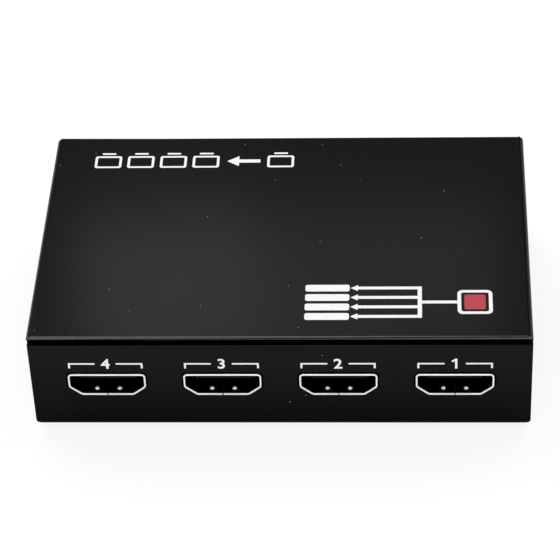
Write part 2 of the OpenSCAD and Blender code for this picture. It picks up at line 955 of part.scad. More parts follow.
module jack_housing() {
    color("#18181a")
        at_jack()
            difference() {
                union() {
                    span(
                        [-jack_w / 2, jack_front, -jack_axis_h],
                        [jack_w / 2, jack_rear, jack_h - jack_axis_h]
                    );
                    along_y(0, jack_front + past)
                        circle(collar_r);
                }
                along_y(-past, jack_bore_l + past)
                    circle(jack_bore_r);
                along_y(jack_bore_l - past, jack_rear + 2 * past - jack_bore_l)
                    circle(pin_root_r + pin_fit);
                span(
                    [-leaf_w / 2 - leaf_fit, leaf_end_y - leaf_fit, -leaf_root - leaf_t - leaf_fit],
                    [leaf_w / 2 + leaf_fit, leaf_root_y + leaf_root_fit, leaf_t - leaf_reach]
                );
                leaf_lug(0);
            }
}

// Centre pin with a round tip, a thicker root in the back wall and a flat lug down through the board
module jack_pin() {
    color("#d0cfc9")
        at_jack() {
            along_y(pin_back + pin_r, jack_rear - pin_back - pin_r)
                circle(pin_r);
            along_y(jack_bore_l, jack_rear + jack_lug_t - jack_bore_l)
                circle(pin_root_r);
            translate([0, pin_back + pin_r, 0])
                sphere(pin_r);
            pin_lug(0);
        }
}

module pin_lug(grow) {
    span(
        [-jack_lug_w / 2 - grow, jack_rear - grow, -jack_axis_h - board_t - lug_out - grow],
        [jack_lug_w / 2 + grow, jack_rear + jack_lug_t + grow, 0]
    );
}

// Sprung leaf under the bore: it rises from its root to a crown and falls again to its free end
module jack_leaf() {
    color("#cbc7b8")
        at_jack()
            along_x(-leaf_w / 2, leaf_w)
                polygon([
                    [leaf_root_y, -leaf_root],
                    [leaf_crown_y + leaf_t, -leaf_reach],
                    [leaf_crown_y, -leaf_reach],
                    [leaf_end_y, -leaf_reach - leaf_fall],
                    [leaf_end_y, -leaf_reach - leaf_fall - leaf_t],
                    [leaf_crown_y, -leaf_reach - leaf_t],
                    [leaf_crown_y + leaf_t, -leaf_reach - leaf_t],
                    [leaf_root_y, -leaf_root - leaf_t]
                ]);
}

// The leaf's own terminal, moulded into the housing, down through the board
module jack_leaf_lug() {
    color("#cbc7b8")
        at_jack()
            leaf_lug(0);
}

module leaf_lug(grow) {
    span(
        [
            -jack_lug_w / 2 - grow,
            leaf_root_y + leaf_root_fit - grow,
            -jack_axis_h - board_t - lug_out - grow
        ],
        [
            jack_lug_w / 2 + grow,
            leaf_root_y + leaf_root_fit + jack_lug_t + grow,
            -leaf_root + leaf_t / 2
        ]
    );
}

// Clear red lens with a round tip and a flange
module power_light_lens() {
    color("#c01818")
        at_light()
            difference() {
                union() {
                    translate([0, light_r, 0])
                        sphere(light_r);
                    along_y(light_r, light_l - light_r)
                        circle(light_r);
                    along_y(light_l - light_flange_t, light_flange_t)
                        circle(light_r + light_flange);
                }
                light_leads(0);
            }
}

module power_light_leads() {
    color("#c9c9cc")
        at_light()
            light_leads(0);
}

// Two leads, bent down behind the lens to the board
module light_leads(grow) {
    for (side = [-1, 1])
        translate([side * lead_pitch / 2, light_l, 0]) {
            span(
                [-lead_t / 2 - grow, -lead_t, -lead_t / 2 - grow],
                [lead_t / 2 + grow, 2 * lead_t + grow, lead_t / 2 + grow]
            );
            span(
                [-lead_t / 2 - grow, lead_t - grow, -light_h - board_t - lug_out - grow],
                [lead_t / 2 + grow, 2 * lead_t + grow, lead_t / 2 + grow]
            );
        }
}

module at_chip() {
    translate([0, -chip_y, board_top])
        children();
}

module splitter_chip() {
    color("#17171a")
        at_chip()
            difference() {
                translate([0, 0, chip_gap])
                    block([chip_s, chip_s, chip_t]);
                chip_lead_rows();
            }
}

module splitter_chip_leads() {
    color("#b8b9bc")
        at_chip()
            chip_lead_rows();
}

// Bent leads on the four sides, each one let into the chip and standing on the board
module chip_lead_rows() {
    knee = chip_s / 2 + chip_lead_l / 2;
    shoulder = chip_gap + chip_t / 2;
    for (turn = [0:90:270], i = [0:chip_leads - 1])
        rotate(turn)
            translate([(i - (chip_leads - 1) / 2) * chip_pitch, 0, 0])
                along_x(-chip_lead_w / 2, chip_lead_w)
                    polygon([
                        [chip_s / 2 - chip_lead_t, shoulder],
                        [chip_s / 2 - chip_lead_t, shoulder + chip_lead_t],
                        [knee, shoulder + chip_lead_t],
                        [knee, chip_lead_t],
                        [chip_s / 2 + chip_lead_l, chip_lead_t],
                        [chip_s / 2 + chip_lead_l, 0],
                        [knee - chip_lead_t, 0],
                        [knee - chip_lead_t, shoulder]
                    ]);
}

module thermal_pad() {
    color("#9aa7b5")
        translate([0, -chip_y, chip_top])
            block([chip_s, chip_s, pad_t]);
}

module heat_sink() {
    color("#8d9094")
        translate([0, -chip_y, sink_z]) {
            block([sink_s, sink_s, sink_base]);
            for (i = [0:sink_fins - 1])
                translate([(i / (sink_fins - 1) - 0.5) * (sink_s - sink_fin_t), 0, 0])
                    block([sink_fin_t, sink_s, sink_h]);
        }
}

// Low metal can with round ends
module crystal() {
    color("#c4c6c9")
        translate([crystal_place.x, crystal_place.y, board_top]) {
            block([crystal_l - crystal_w, crystal_w, crystal_h]);
            for (side = [-1, 1])
                translate([side * (crystal_l - crystal_w) / 2, 0, 0])
                    cylinder(r = crystal_w / 2, h = crystal_h);
        }
}

module memory_chips() {
    color("#1c1c1e")
        for (p = memory_places)
            translate([p.x, p.y, board_top])
                difference() {
                    translate([0, 0, chip_gap])
                        block([memory_w, memory_d, memory_h]);
                    memory_lead_set();
                }
}

module memory_leads() {
    color("#b8b9bc")
        for (p = memory_places)
            translate([p.x, p.y, board_top])
                memory_lead_set();
}

// Four leads on each long side
module memory_lead_set() {
    small_leads(4, memory_lead_pitch, memory_lead_w, memory_d, memory_h, [-1, 1]);
}

module regulators() {
    color("#1c1c1e")
        for (p = regulator_places)
            translate([p.x, p.y, board_top])
                difference() {
                    translate([0, 0, chip_gap])
                        block([regulator_w, regulator_d, regulator_h]);
                    regulator_lead_set();
                }
}

module regulator_leads() {
    color("#b8b9bc")
        for (p = regulator_places)
            translate([p.x, p.y, board_top])
                regulator_lead_set();
}

// Three narrow leads in front and one wide tab behind
module regulator_lead_set() {
    small_leads(3, regulator_lead_pitch, regulator_lead_w, regulator_d, regulator_h, [-1]);
    small_leads(1, regulator_lead_pitch, regulator_tab_w, regulator_d, regulator_h, [1]);
}

// Rows of bent leads on the chosen sides of a body of depth d and height h
module small_leads(count, pitch, w, d, h, sides) {
    knee = d / 2 + small_lead_l / 2;
    shoulder = chip_gap + h / 2;
    for (side = sides, i = [0:count - 1])
        rotate(side > 0 ? 0 : 180)
            translate([(i - (count - 1) / 2) * pitch, 0, 0])
                along_x(-w / 2, w)
                    polygon([
                        [d / 2 - small_lead_t, shoulder],
                        [d / 2 - small_lead_t, shoulder + small_lead_t],
                        [knee, shoulder + small_lead_t],
                        [knee, small_lead_t],
                        [d / 2 + small_lead_l, small_lead_t],
                        [d / 2 + small_lead_l, 0],
                        [knee - small_lead_t, 0],
                        [knee - small_lead_t, shoulder]
                    ]);
}

// Shielded coil with its corners cut off
module power_inductor() {
    color("#3a3a3c")
        translate([coil_place.x, coil_place.y, board_top])
            linear_extrude(coil_h)
                polygon([
                    for (turn = [0:90:270], end = [-1, 1])
                        let (x = end * (coil_s / 2 - coil_cut), y = coil_s / 2)
                        [x * cos(turn) + y * sin(turn), y * cos(turn) - x * sin(turn)]
                ]);
}

module capacitor_cans() {
    color("#c3c6ca")
        for (p = can_places)
            translate([p.x, p.y, board_top + can_base_h])
                cylinder(r = can_r, h = can_h);
}

module capacitor_bases() {
    color("#1a1a1c")
        for (p = can_places)
            translate([p.x, p.y, board_top])
                block([can_base_s, can_base_s, can_base_h]);
}

// A row of four on each side of the splitter chip
module ceramic_capacitors() {
    color("#b08d62")
        at_chip()
            for (turn = [0:90:270], i = [-1.5:1.5])
                rotate(turn)
                    translate([ceramic_pitch * i, chip_s / 2 + chip_lead_l + ceramic_gap + small_l / 2, 0])
                        block([small_w, small_l, ceramic_h]);
}

// A row of six behind each output
module resistors() {
    color("#202022")
        for (x = output_x, i = [-2.5:2.5])
            translate([x + resistor_pitch * i, resistor_y, board_top])
                block([small_w, small_l, resistor_h]);
}

// Two behind each socket
module surge_protectors() {
    color("#1c1c1e") {
        for (x = output_x, side = [-1, 1])
            translate([x + side * surge_x, surge_y, board_top])
                block([surge_l, surge_d, surge_h]);
        for (side = [-1, 1])
            translate([input_x + side * surge_x, -surge_y, board_top])
                block([surge_l, surge_d, surge_h]);
    }
}

base_tray();
top_cover();
cover_screws();
rubber_feet();
circuit_board();
standoffs();
board_screws();
output_1_shell();
output_1_insulator();
output_1_contacts();
output_1_fingers();
output_2_shell();
output_2_insulator();
output_2_contacts();
output_2_fingers();
output_3_shell();
output_3_insulator();
output_3_contacts();
output_3_fingers();
output_4_shell();
output_4_insulator();
output_4_contacts();
output_4_fingers();
input_shell();
input_insulator();
input_contacts();
input_fingers();
jack_housing();
jack_pin();
jack_leaf();
jack_leaf_lug();
power_light_lens();
power_light_leads();
splitter_chip();
splitter_chip_leads();
thermal_pad();
heat_sink();
crystal();
memory_chips();
memory_leads();
regulators();
regulator_leads();
power_inductor();
capacitor_cans();
capacitor_bases();
ceramic_capacitors();
resistors();
surge_protectors();
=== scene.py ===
"""Looks of a one-input, four-output video splitter: coated case, bright sockets, printed marks, studio."""

import math

import bmesh
import bpy
from bpy.props import FloatProperty, FloatVectorProperty, PointerProperty
from mathutils import Matrix, Vector


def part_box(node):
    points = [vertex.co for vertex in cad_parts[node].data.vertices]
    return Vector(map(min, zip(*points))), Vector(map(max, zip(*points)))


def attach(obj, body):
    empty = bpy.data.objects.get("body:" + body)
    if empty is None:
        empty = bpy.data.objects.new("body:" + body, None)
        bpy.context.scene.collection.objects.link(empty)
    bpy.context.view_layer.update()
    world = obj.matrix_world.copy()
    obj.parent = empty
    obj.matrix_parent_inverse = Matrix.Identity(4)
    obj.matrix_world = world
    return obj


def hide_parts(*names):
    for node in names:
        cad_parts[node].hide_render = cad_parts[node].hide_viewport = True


bl_info = {
    "name": "Video splitter looks",
    "version": (1, 0, 0),
    "blender": (4, 5, 0),
    "location": "3D View > Sidebar > Splitter",
    "description": "Dresses the splitter's solids with finishes, printed marks and a studio",
    "category": "Object",
}

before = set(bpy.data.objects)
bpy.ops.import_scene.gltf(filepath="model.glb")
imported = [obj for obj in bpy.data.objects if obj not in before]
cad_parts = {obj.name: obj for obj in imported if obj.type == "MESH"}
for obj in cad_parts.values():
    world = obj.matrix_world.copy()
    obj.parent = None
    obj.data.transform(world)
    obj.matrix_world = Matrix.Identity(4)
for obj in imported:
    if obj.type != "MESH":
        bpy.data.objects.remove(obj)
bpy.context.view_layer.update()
MM = 0.001
SOCKETS = ("output_1", "output_2", "output_3", "output_4", "input")

# Limits of the rounding, in millimetres and radians
WELD = 0.002
CUT_SNAP = 1e-4
ON_FACE = 0.01
PAST_SOLID = 0.02
FLAT_ANGLE = math.radians(0.4)
SHARP_ANGLE = math.radians(35)
CREASE_ANGLE = math.radians(50)

# Sockets, in millimetres: depths behind the mouth where the lip's painted highlight begins to fade into
# painted shade and where it ends, distances from the middle of a bump, the slice that counts as its flat top,
# and the rounding of a finger
LIP_BRIGHT = 0.15
LIP_END = 0.3
BUMP_FLAT = 0.3
BUMP_BRIGHT = 0.5
BUMP_FOOT = 0.55
BUMP_FLAT_DEPTH = 0.04
FINGER_EDGE = 0.05


# Settings

class CaseSettings(bpy.types.PropertyGroup):
    coat_colour: FloatVectorProperty(
        name="Coat colour", description="Powder coat on the cover and the tray",
        subtype="COLOR", size=3, min=0, max=1, default=(0.0014, 0.0011, 0.0016))
    # The edge colour is partly rubbed coat and partly a painted highlight along the cover's top front and
    # rear edges.
    edge_colour: FloatVectorProperty(
        name="Edge colour", description="Coat where it is rubbed thin along the sheet edges",
        subtype="COLOR", size=3, min=0, max=1, default=(0.086, 0.083, 0.088))
    cover_edge: FloatProperty(
        name="Cover edge", description="Rounding of the cover's coated edges",
        unit="LENGTH", min=0.02 * MM, max=0.4 * MM, default=0.3 * MM)
    tray_edge: FloatProperty(
        name="Tray edge", description="Rounding of the tray's coated edges",
        unit="LENGTH", min=0.02 * MM, max=0.4 * MM, default=0.14 * MM)
    screw_edge: FloatProperty(
        name="Screw edge", description="Rounding of the edges of a cover screw",
        unit="LENGTH", min=0.01 * MM, max=0.1 * MM, default=0.05 * MM)
    foot_edge: FloatProperty(
        name="Foot edge", description="Rounding of a rubber foot",
        unit="LENGTH", min=0.1 * MM, max=0.6 * MM, default=0.35 * MM)


class SocketSettings(bpy.types.PropertyGroup):
    nickel_colour: FloatVectorProperty(
        name="Nickel colour", description="Plating of the shells and the sprung fingers",
        subtype="COLOR", size=3, min=0, max=1, default=(1.00, 0.945, 0.85))
    # The lip and bump shares make the nickel pale and diffuse there, a painted highlight.
    lip_haze: FloatProperty(
        name="Lip haze", description="How pale the rubbed lip of a shell is, over its bare metal",
        subtype="FACTOR", min=0, max=1, default=0.75)
    bump_haze: FloatProperty(
        name="Bump haze", description="How pale the rubbed bump of a finger is, over its bare metal",
        subtype="FACTOR", min=0, max=1, default=0.85)
    gold_colour: FloatVectorProperty(
        name="Gold colour", description="Plating of the contacts",
        subtype="COLOR", size=3, min=0, max=1, default=(0.86, 0.63, 0.27))
    plastic_colour: FloatVectorProperty(
        name="Plastic colour", description="Insulators and the power jack",
        subtype="COLOR", size=3, min=0, max=1, default=(0.006, 0.006, 0.0065))
    lip_edge: FloatProperty(
        name="Lip edge", description="Rounding of a shell's edges",
        unit="LENGTH", min=0.02 * MM, max=0.16 * MM, default=0.14 * MM)
    moulded_edge: FloatProperty(
        name="Moulded edge", description="Rounding of the edges of moulded pieces",
        unit="LENGTH", min=0.02 * MM, max=0.3 * MM, default=0.12 * MM)


class MarkSettings(bpy.types.PropertyGroup):
    ink_colour: FloatVectorProperty(
        name="Ink colour", description="Printed marks",
        subtype="COLOR", size=3, min=0, max=1, default=(0.88, 0.88, 0.88))
    accent_colour: FloatVectorProperty(
        name="Accent colour", description="Printed accent on the cover",
        subtype="COLOR", size=3, min=0, max=1, default=(0.46, 0.040, 0.065))
    ink_thickness: FloatProperty(
        name="Ink thickness", description="How far a print stands off the coat",
        unit="LENGTH", min=0.005 * MM, max=0.05 * MM, default=0.02 * MM)
    number_height: FloatProperty(
        name="Number height", description="Height of a socket's number",
        unit="LENGTH", min=1 * MM, max=4 * MM, default=2.5 * MM)


class StageSettings(bpy.types.PropertyGroup):
    floor_size: FloatProperty(
        name="Floor size", description="Side of the floor",
        unit="LENGTH", min=1, max=20, default=6)
    floor_colour: FloatVectorProperty(
        name="Floor colour", description="Pale floor",
        subtype="COLOR", size=3, min=0, max=1, default=(0.85, 0.85, 0.85))
    key_power: FloatProperty(
        name="Key light", description="Power of the soft light behind and to the left",
        subtype="POWER", min=0, max=50, default=2.2)
    side_power: FloatProperty(
        name="Side light", description="Power of the soft light behind and to the right",
        subtype="POWER", min=0, max=50, default=1.25)
    front_power: FloatProperty(
        name="Front light", description="Power of the wide light in front",
        subtype="POWER", min=0, max=50, default=1.7)
    high_power: FloatProperty(
        name="High light", description="Power of the light high in front",
        subtype="POWER", min=0, max=50, default=1.8)
    sheen_power: FloatProperty(
        name="Sheen light", description="Power of the small lights whose gloss lies on the cover",
        subtype="POWER", min=0, max=50, default=0.0240)
    ceiling_strength: FloatProperty(
        name="Ceiling", description="Brightness of the room overhead, where its walls are white",
        subtype="FACTOR", min=0, max=1, default=0.40)
    camera_place: FloatVectorProperty(
        name="Camera place", description="Where the camera stands",
        subtype="TRANSLATION", size=3, default=(0.025795, -0.388113, 0.348696))
    lens: FloatProperty(
        name="Lens", description="Focal length in millimetres on a 36 mm sensor",
        min=20, max=400, default=166.751)


# Node groups and materials

def add(tree, kind, **values):
    """A new node with its own properties set."""
    node = tree.nodes.new(kind)
    for name, value in values.items():
        setattr(node, name, value)
    return node


def new_group(name, inputs, outputs):
    """An empty shader node group with named sockets."""
    tree = bpy.data.node_groups.new(name, "ShaderNodeTree")
    for label, value in inputs.items():
        kind = "NodeSocketColor" if isinstance(value, tuple) else "NodeSocketFloat"
        tree.interface.new_socket(name=label, in_out="INPUT", socket_type=kind).default_value = value
    for label, kind in outputs.items():
        tree.interface.new_socket(name=label, in_out="OUTPUT", socket_type=kind)
    return tree, tree.nodes.new("NodeGroupInput").outputs, tree.nodes.new("NodeGroupOutput").inputs


def grain_group():
    """Fine surface grain: a height for a bump and a slow tone from 0 to 1."""
    tree, given, out = new_group(
        "surface_grain", {"Fine scale": 4000.0, "Broad scale": 60.0, "Pits": 0.3},
        {"Height": "NodeSocketFloat", "Tone": "NodeSocketFloat"})
    link = tree.links.new
    place = add(tree, "ShaderNodeTexCoord").outputs["Object"]
    fine = add(tree, "ShaderNodeTexNoise")
    fine.inputs["Detail"].default_value = 2.5
    fine.inputs["Roughness"].default_value = 0.6
    cells = add(tree, "ShaderNodeTexVoronoi")
    broad = add(tree, "ShaderNodeTexNoise")
    broad.inputs["Detail"].default_value = 4
    both = add(tree, "ShaderNodeMix")
    for texture, scale in ((fine, "Fine scale"), (cells, "Fine scale"), (broad, "Broad scale")):
        link(place, texture.inputs["Vector"])
        link(given[scale], texture.inputs["Scale"])
    link(given["Pits"], both.inputs["Factor"])
    link(fine.outputs["Fac"], both.inputs["A"])
    link(cells.outputs["Distance"], both.inputs["B"])
    link(both.outputs["Result"], out["Height"])
    link(broad.outputs["Fac"], out["Tone"])
    return tree


def rub_group():
    """Rubbed edges, with a painted highlight on the cover: how bare each rounded edge is, from the rim
    attribute and noise.
    """
    tree, given, out = new_group(
        "rubbed_and_highlit_edges", {"Amount": 0.8, "Break up": 300.0}, {"Mask": "NodeSocketFloat"})
    link = tree.links.new
    rim = add(tree, "ShaderNodeAttribute", attribute_name="rim")
    noise = add(tree, "ShaderNodeTexNoise")
    noise.inputs["Detail"].default_value = 5
    ramp = add(tree, "ShaderNodeMapRange")
    ramp.inputs["From Min"].default_value = 0.28
    ramp.inputs["From Max"].default_value = 0.62
    ramp.inputs["To Min"].default_value = 0.8
    on_rim = add(tree, "ShaderNodeMath", operation="MULTIPLY")
    bare = add(tree, "ShaderNodeMath", operation="MULTIPLY")
    link(add(tree, "ShaderNodeTexCoord").outputs["Object"], noise.inputs["Vector"])
    link(given["Break up"], noise.inputs["Scale"])
    link(noise.outputs["Fac"], ramp.inputs["Value"])
    link(ramp.outputs["Result"], on_rim.inputs[0])
    link(rim.outputs["Fac"], on_rim.inputs[1])
    link(on_rim.outputs["Value"], bare.inputs[0])
    link(given["Amount"], bare.inputs[1])
    link(bare.outputs["Value"], out["Mask"])
    return tree


def dust_group():
    """Specks of dust: a few pale dots in cells picked by chance."""
    tree, given, out = new_group(
        "dust_specks", {"Cells": 260.0, "Size": 0.03, "Share": 0.06}, {"Mask": "NodeSocketFloat"})
    link = tree.links.new
    cells = add(tree, "ShaderNodeTexVoronoi")
    near = add(tree, "ShaderNodeMath", operation="LESS_THAN")
    chance = add(tree, "ShaderNodeSeparateColor")
    picked = add(tree, "ShaderNodeMath", operation="LESS_THAN")
    both = add(tree, "ShaderNodeMath", operation="MULTIPLY")
    link(add(tree, "ShaderNodeTexCoord").outputs["Object"], cells.inputs["Vector"])
    link(given["Cells"], cells.inputs["Scale"])
    link(cells.outputs["Distance"], near.inputs[0])
    link(given["Size"], near.inputs[1])
    link(cells.outputs["Color"], chance.inputs["Color"])
    link(chance.outputs["Red"], picked.inputs[0])
    link(given["Share"], picked.inputs[1])
    link(near.outputs["Value"], both.inputs[0])
    link(picked.outputs["Value"], both.inputs[1])
    link(both.outputs["Value"], out["Mask"])
    return tree


def streak_group():
    """Fine drawn lines along one axis, for rolled and machined metal."""
    tree, given, out = new_group(
        "drawn_lines", {"Across": 5000.0, "Along": 120.0}, {"Height": "NodeSocketFloat"})
    link = tree.links.new
    split = add(tree, "ShaderNodeSeparateXYZ")
    joined = add(tree, "ShaderNodeCombineXYZ")
    noise = add(tree, "ShaderNodeTexNoise")
    noise.inputs["Scale"].default_value = 1
    noise.inputs["Detail"].default_value = 3
    link(add(tree, "ShaderNodeTexCoord").outputs["Object"], split.inputs["Vector"])
    for axis, scale in (("X", "Along"), ("Y", "Across"), ("Z", "Across")):
        times = add(tree, "ShaderNodeMath", operation="MULTIPLY")
        link(split.outputs[axis], times.inputs[0])
        link(given[scale], times.inputs[1])
        link(times.outputs["Value"], joined.inputs[axis])
    link(joined.outputs["Vector"], noise.inputs["Vector"])
    link(noise.outputs["Fac"], out["Height"])
    return tree


def trace_group():
    """Copper tracks and vias under the board's mask, from 0 to 1."""
    tree, given, out = new_group(
        "board_tracks", {"Track scale": 70.0, "Via scale": 420.0}, {"Mask": "NodeSocketFloat"})
    link = tree.links.new
    place = add(tree, "ShaderNodeTexCoord").outputs["Object"]
    bend = add(tree, "ShaderNodeTexVoronoi", feature="F1", distance="MANHATTAN")
    tracks = add(tree, "ShaderNodeMath", operation="PINGPONG")
    tracks.inputs[1].default_value = 0.5
    spread = add(tree, "ShaderNodeMath", operation="MULTIPLY")
    spread.inputs[1].default_value = 9
    line = add(tree, "ShaderNodeMapRange")
    line.inputs["From Min"].default_value = 0.28
    line.inputs["From Max"].default_value = 0.36
    vias = add(tree, "ShaderNodeTexVoronoi")
    dot = add(tree, "ShaderNodeMath", operation="LESS_THAN")
    dot.inputs[1].default_value = 0.09
    most = add(tree, "ShaderNodeMath", operation="MAXIMUM")
    link(place, bend.inputs["Vector"])
    link(place, vias.inputs["Vector"])
    link(given["Via scale"], vias.inputs["Scale"])
    link(given["Track scale"], bend.inputs["Scale"])
    link(bend.outputs["Distance"], spread.inputs[0])
    link(spread.outputs["Value"], tracks.inputs[0])
    link(tracks.outputs["Value"], line.inputs["Value"])
    link(vias.outputs["Distance"], dot.inputs[0])
    link(line.outputs["Result"], most.inputs[0])
    link(dot.outputs["Value"], most.inputs[1])
    link(most.outputs["Value"], out["Mask"])
    return tree


GROUPS = {}


def placed(tree, name, **values):
    """A shared node group set into a material, with that material's own values."""
    if name not in GROUPS:
        GROUPS[name] = {
            "grain": grain_group, "rub_and_highlight": rub_group, "dust": dust_group,
            "streaks": streak_group, "tracks": trace_group}[name]()
    node = add(tree, "ShaderNodeGroup", node_tree=GROUPS[name])
    for label, value in values.items():
        node.inputs[label.replace("_", " ")].default_value = value
    return node.outputs


def shade(tree, low, high, factor):
    """A colour from low to high by factor."""
    mix = add(tree, "ShaderNodeMix", data_type="RGBA")
    for socket, colour in (("A", low), ("B", high)):
        target = next(s for s in mix.inputs if s.name == socket and s.type == "RGBA")
        if isinstance(colour, bpy.types.NodeSocket):
            tree.links.new(colour, target)
        else:
            target.default_value = (*colour, 1)
    tree.links.new(factor, mix.inputs["Factor"])
    return next(s for s in mix.outputs if s.type == "RGBA")


def between(tree, value, low, high):
    """value, which runs from 0 to 1, brought to the range from low to high."""
    node = add(tree, "ShaderNodeMapRange")
    node.inputs["To Min"].default_value = low
    node.inputs["To Max"].default_value = high
    tree.links.new(value, node.inputs["Value"])
    return node.outputs["Result"]


def bumped(tree, height, distance, strength):
    """A normal from a height, in metres."""
    node = add(tree, "ShaderNodeBump")
    node.inputs["Distance"].default_value = distance
    node.inputs["Strength"].default_value = strength
    tree.links.new(height, node.inputs["Height"])
    return node.outputs["Normal"]


def new_material(name):
    """A material with one Principled shader, ready for its own nodes."""
    material = bpy.data.materials.new(name)
    material.use_nodes = True
    tree = material.node_tree
    return material, tree, tree.nodes["Principled BSDF"].inputs


def scaled(colour, k):
    """A colour k times as bright, up to white."""
    return tuple(min(1, c * k) for c in colour)


def powder_coat():
    """Satin black powder coat: faint orange peel, slow tone, rubbed edges with painted highlight, a little
    dust.
    """
    case = bpy.context.scene.splitter_case
    material, tree, face = new_material("powder_coat")
    grain = placed(tree, "grain", Fine_scale=2600, Broad_scale=42, Pits=0.35)
    rub_and_highlight = placed(tree, "rub_and_highlight", Amount=1.0, Break_up=420)
    dust = placed(tree, "dust", Cells=300, Size=0.03, Share=0.5)
    base = shade(tree, scaled(case.coat_colour, 0.85), scaled(case.coat_colour, 1.2), grain["Tone"])
    # Along the cover's top edges the coat is lightened to the edge colour: rubbed coat and a painted
    # highlight.
    worn = shade(tree, base, tuple(case.edge_colour), rub_and_highlight["Mask"])
    dusty = shade(tree, worn, (0.30, 0.29, 0.30), dust["Mask"])
    tree.links.new(dusty, face["Base Color"])
    tree.links.new(between(tree, grain["Height"], 0.14, 0.24), face["Roughness"])
    tree.links.new(bumped(tree, grain["Height"], 0.03 * MM, 0.06), face["Normal"])
    face["Specular IOR Level"].default_value = 0.12
    face["Specular Tint"].default_value = (0.94, 0.80, 1.0, 1)
    return material


def nickel(name, highlight_share):
    """Nickel over drawn sheet: pale painted highlight on lip and bumps, near-black painted shade elsewhere.
    """
    colour = bpy.context.scene.splitter_socket.nickel_colour
    material, tree, face = new_material(name)
    lines = placed(tree, "streaks", Across=3800, Along=260)
    grain = placed(tree, "grain", Fine_scale=2500, Broad_scale=420, Pits=0.2)
    painted_light = add(tree, "ShaderNodeAttribute", attribute_name="painted_light").outputs["Fac"]
    bright = shade(tree, scaled(colour, 0.94), scaled(colour, 1.04), grain["Tone"])
    # Painted shade: away from the lip and the bumps the nickel is brought near black.
    painted_shade = shade(tree, scaled(colour, 0.010), scaled(colour, 0.020), grain["Tone"])
    tree.links.new(shade(tree, painted_shade, bright, painted_light), face["Base Color"])
    tree.links.new(between(tree, lines["Height"], 0.20, 0.32), face["Roughness"])
    tree.links.new(bumped(tree, lines["Height"], 0.004 * MM, 0.25), face["Normal"])
    # The painted highlight also takes metal away, so the lip and bumps read pale under any lamp.
    tree.links.new(between(tree, painted_light, 1, 1 - highlight_share), face["Metallic"])
    return material


def gold():
    """Thin gold over the contacts, paler where it is rubbed."""
    colour = bpy.context.scene.splitter_socket.gold_colour
    material, tree, face = new_material("gold_flash")
    grain = placed(tree, "grain", Fine_scale=6000, Broad_scale=1500, Pits=0.1)
    tree.links.new(shade(tree, scaled(colour, 0.85), scaled(colour, 1.08), grain["Tone"]), face["Base Color"])
    tree.links.new(between(tree, grain["Height"], 0.18, 0.34), face["Roughness"])
    face["Metallic"].default_value = 1
    return material


def moulded(name, colour, rough, scale, spec=0.4):
    """Moulded plastic: a fine spark-eroded texture and slow tone."""
    material, tree, face = new_material(name)
    grain = placed(tree, "grain", Fine_scale=scale, Broad_scale=190, Pits=0.55)
    rub_and_highlight = placed(tree, "rub_and_highlight", Amount=0.35, Break_up=700)
    base = shade(tree, scaled(colour, 0.8), scaled(colour, 1.3), grain["Tone"])
    tree.links.new(shade(tree, base, scaled(colour, 2.6), rub_and_highlight["Mask"]), face["Base Color"])
    tree.links.new(between(tree, grain["Height"], *rough), face["Roughness"])
    tree.links.new(bumped(tree, grain["Height"], 0.02 * MM, 0.3), face["Normal"])
    face["Specular IOR Level"].default_value = spec
    return material


def metal(name, colour, rough, across=4200, along=300, depth=0.004):
    """Plated or drawn metal with fine lines."""
    material, tree, face = new_material(name)
    lines = placed(tree, "streaks", Across=across, Along=along)
    grain = placed(tree, "grain", Fine_scale=3000, Broad_scale=300, Pits=0.2)
    tree.links.new(shade(tree, scaled(colour, 0.86), scaled(colour, 1.06), grain["Tone"]), face["Base Color"])
    tree.links.new(between(tree, lines["Height"], *rough), face["Roughness"])
    tree.links.new(bumped(tree, lines["Height"], depth * MM, 0.3), face["Normal"])
    face["Metallic"].default_value = 1
    return material


def black_zinc():
    """Blackened screw steel, bare on the worn edges of the cross slot."""
    material, tree, face = new_material("black_zinc")
    grain = placed(tree, "grain", Fine_scale=3500, Broad_scale=500, Pits=0.3)
    rub_and_highlight = placed(tree, "rub_and_highlight", Amount=0.8, Break_up=900)
    base = shade(tree, (0.018, 0.018, 0.020), (0.034, 0.034, 0.038), grain["Tone"])
    tree.links.new(shade(tree, base, (0.22, 0.22, 0.23), rub_and_highlight["Mask"]), face["Base Color"])
    tree.links.new(between(tree, grain["Height"], 0.28, 0.5), face["Roughness"])
    tree.links.new(bumped(tree, grain["Height"], 0.01 * MM, 0.3), face["Normal"])
    face["Metallic"].default_value = 0.6
    return material


def solder_mask():
    """Green mask over copper tracks and vias on a glass laminate."""
    material, tree, face = new_material("solder_mask")
    tracks = placed(tree, "tracks", Track_scale=70, Via_scale=420)
    grain = placed(tree, "grain", Fine_scale=1800, Broad_scale=80, Pits=0.2)
    plain = shade(tree, (0.001, 0.007, 0.004), (0.002, 0.012, 0.006), grain["Tone"])
    tree.links.new(shade(tree, plain, (0.005, 0.032, 0.015), tracks["Mask"]), face["Base Color"])
    tree.links.new(between(tree, grain["Height"], 0.25, 0.42), face["Roughness"])
    tree.links.new(bumped(tree, tracks["Mask"], 0.03 * MM, 0.5), face["Normal"])
    return material


def red_lens():
    """Tinted epoxy of the power light, with faint flow lines."""
    material, tree, face = new_material("red_lens")
    grain = placed(tree, "grain", Fine_scale=900, Broad_scale=600, Pits=0.1)
    tree.links.new(shade(tree, (0.42, 0.006, 0.008), (0.62, 0.015, 0.018), grain["Tone"]), face["Base Color"])
    tree.links.new(between(tree, grain["Height"], 0.08, 0.2), face["Roughness"])
    face["Transmission Weight"].default_value = 0.45
    face["IOR"].default_value = 1.5
    return material


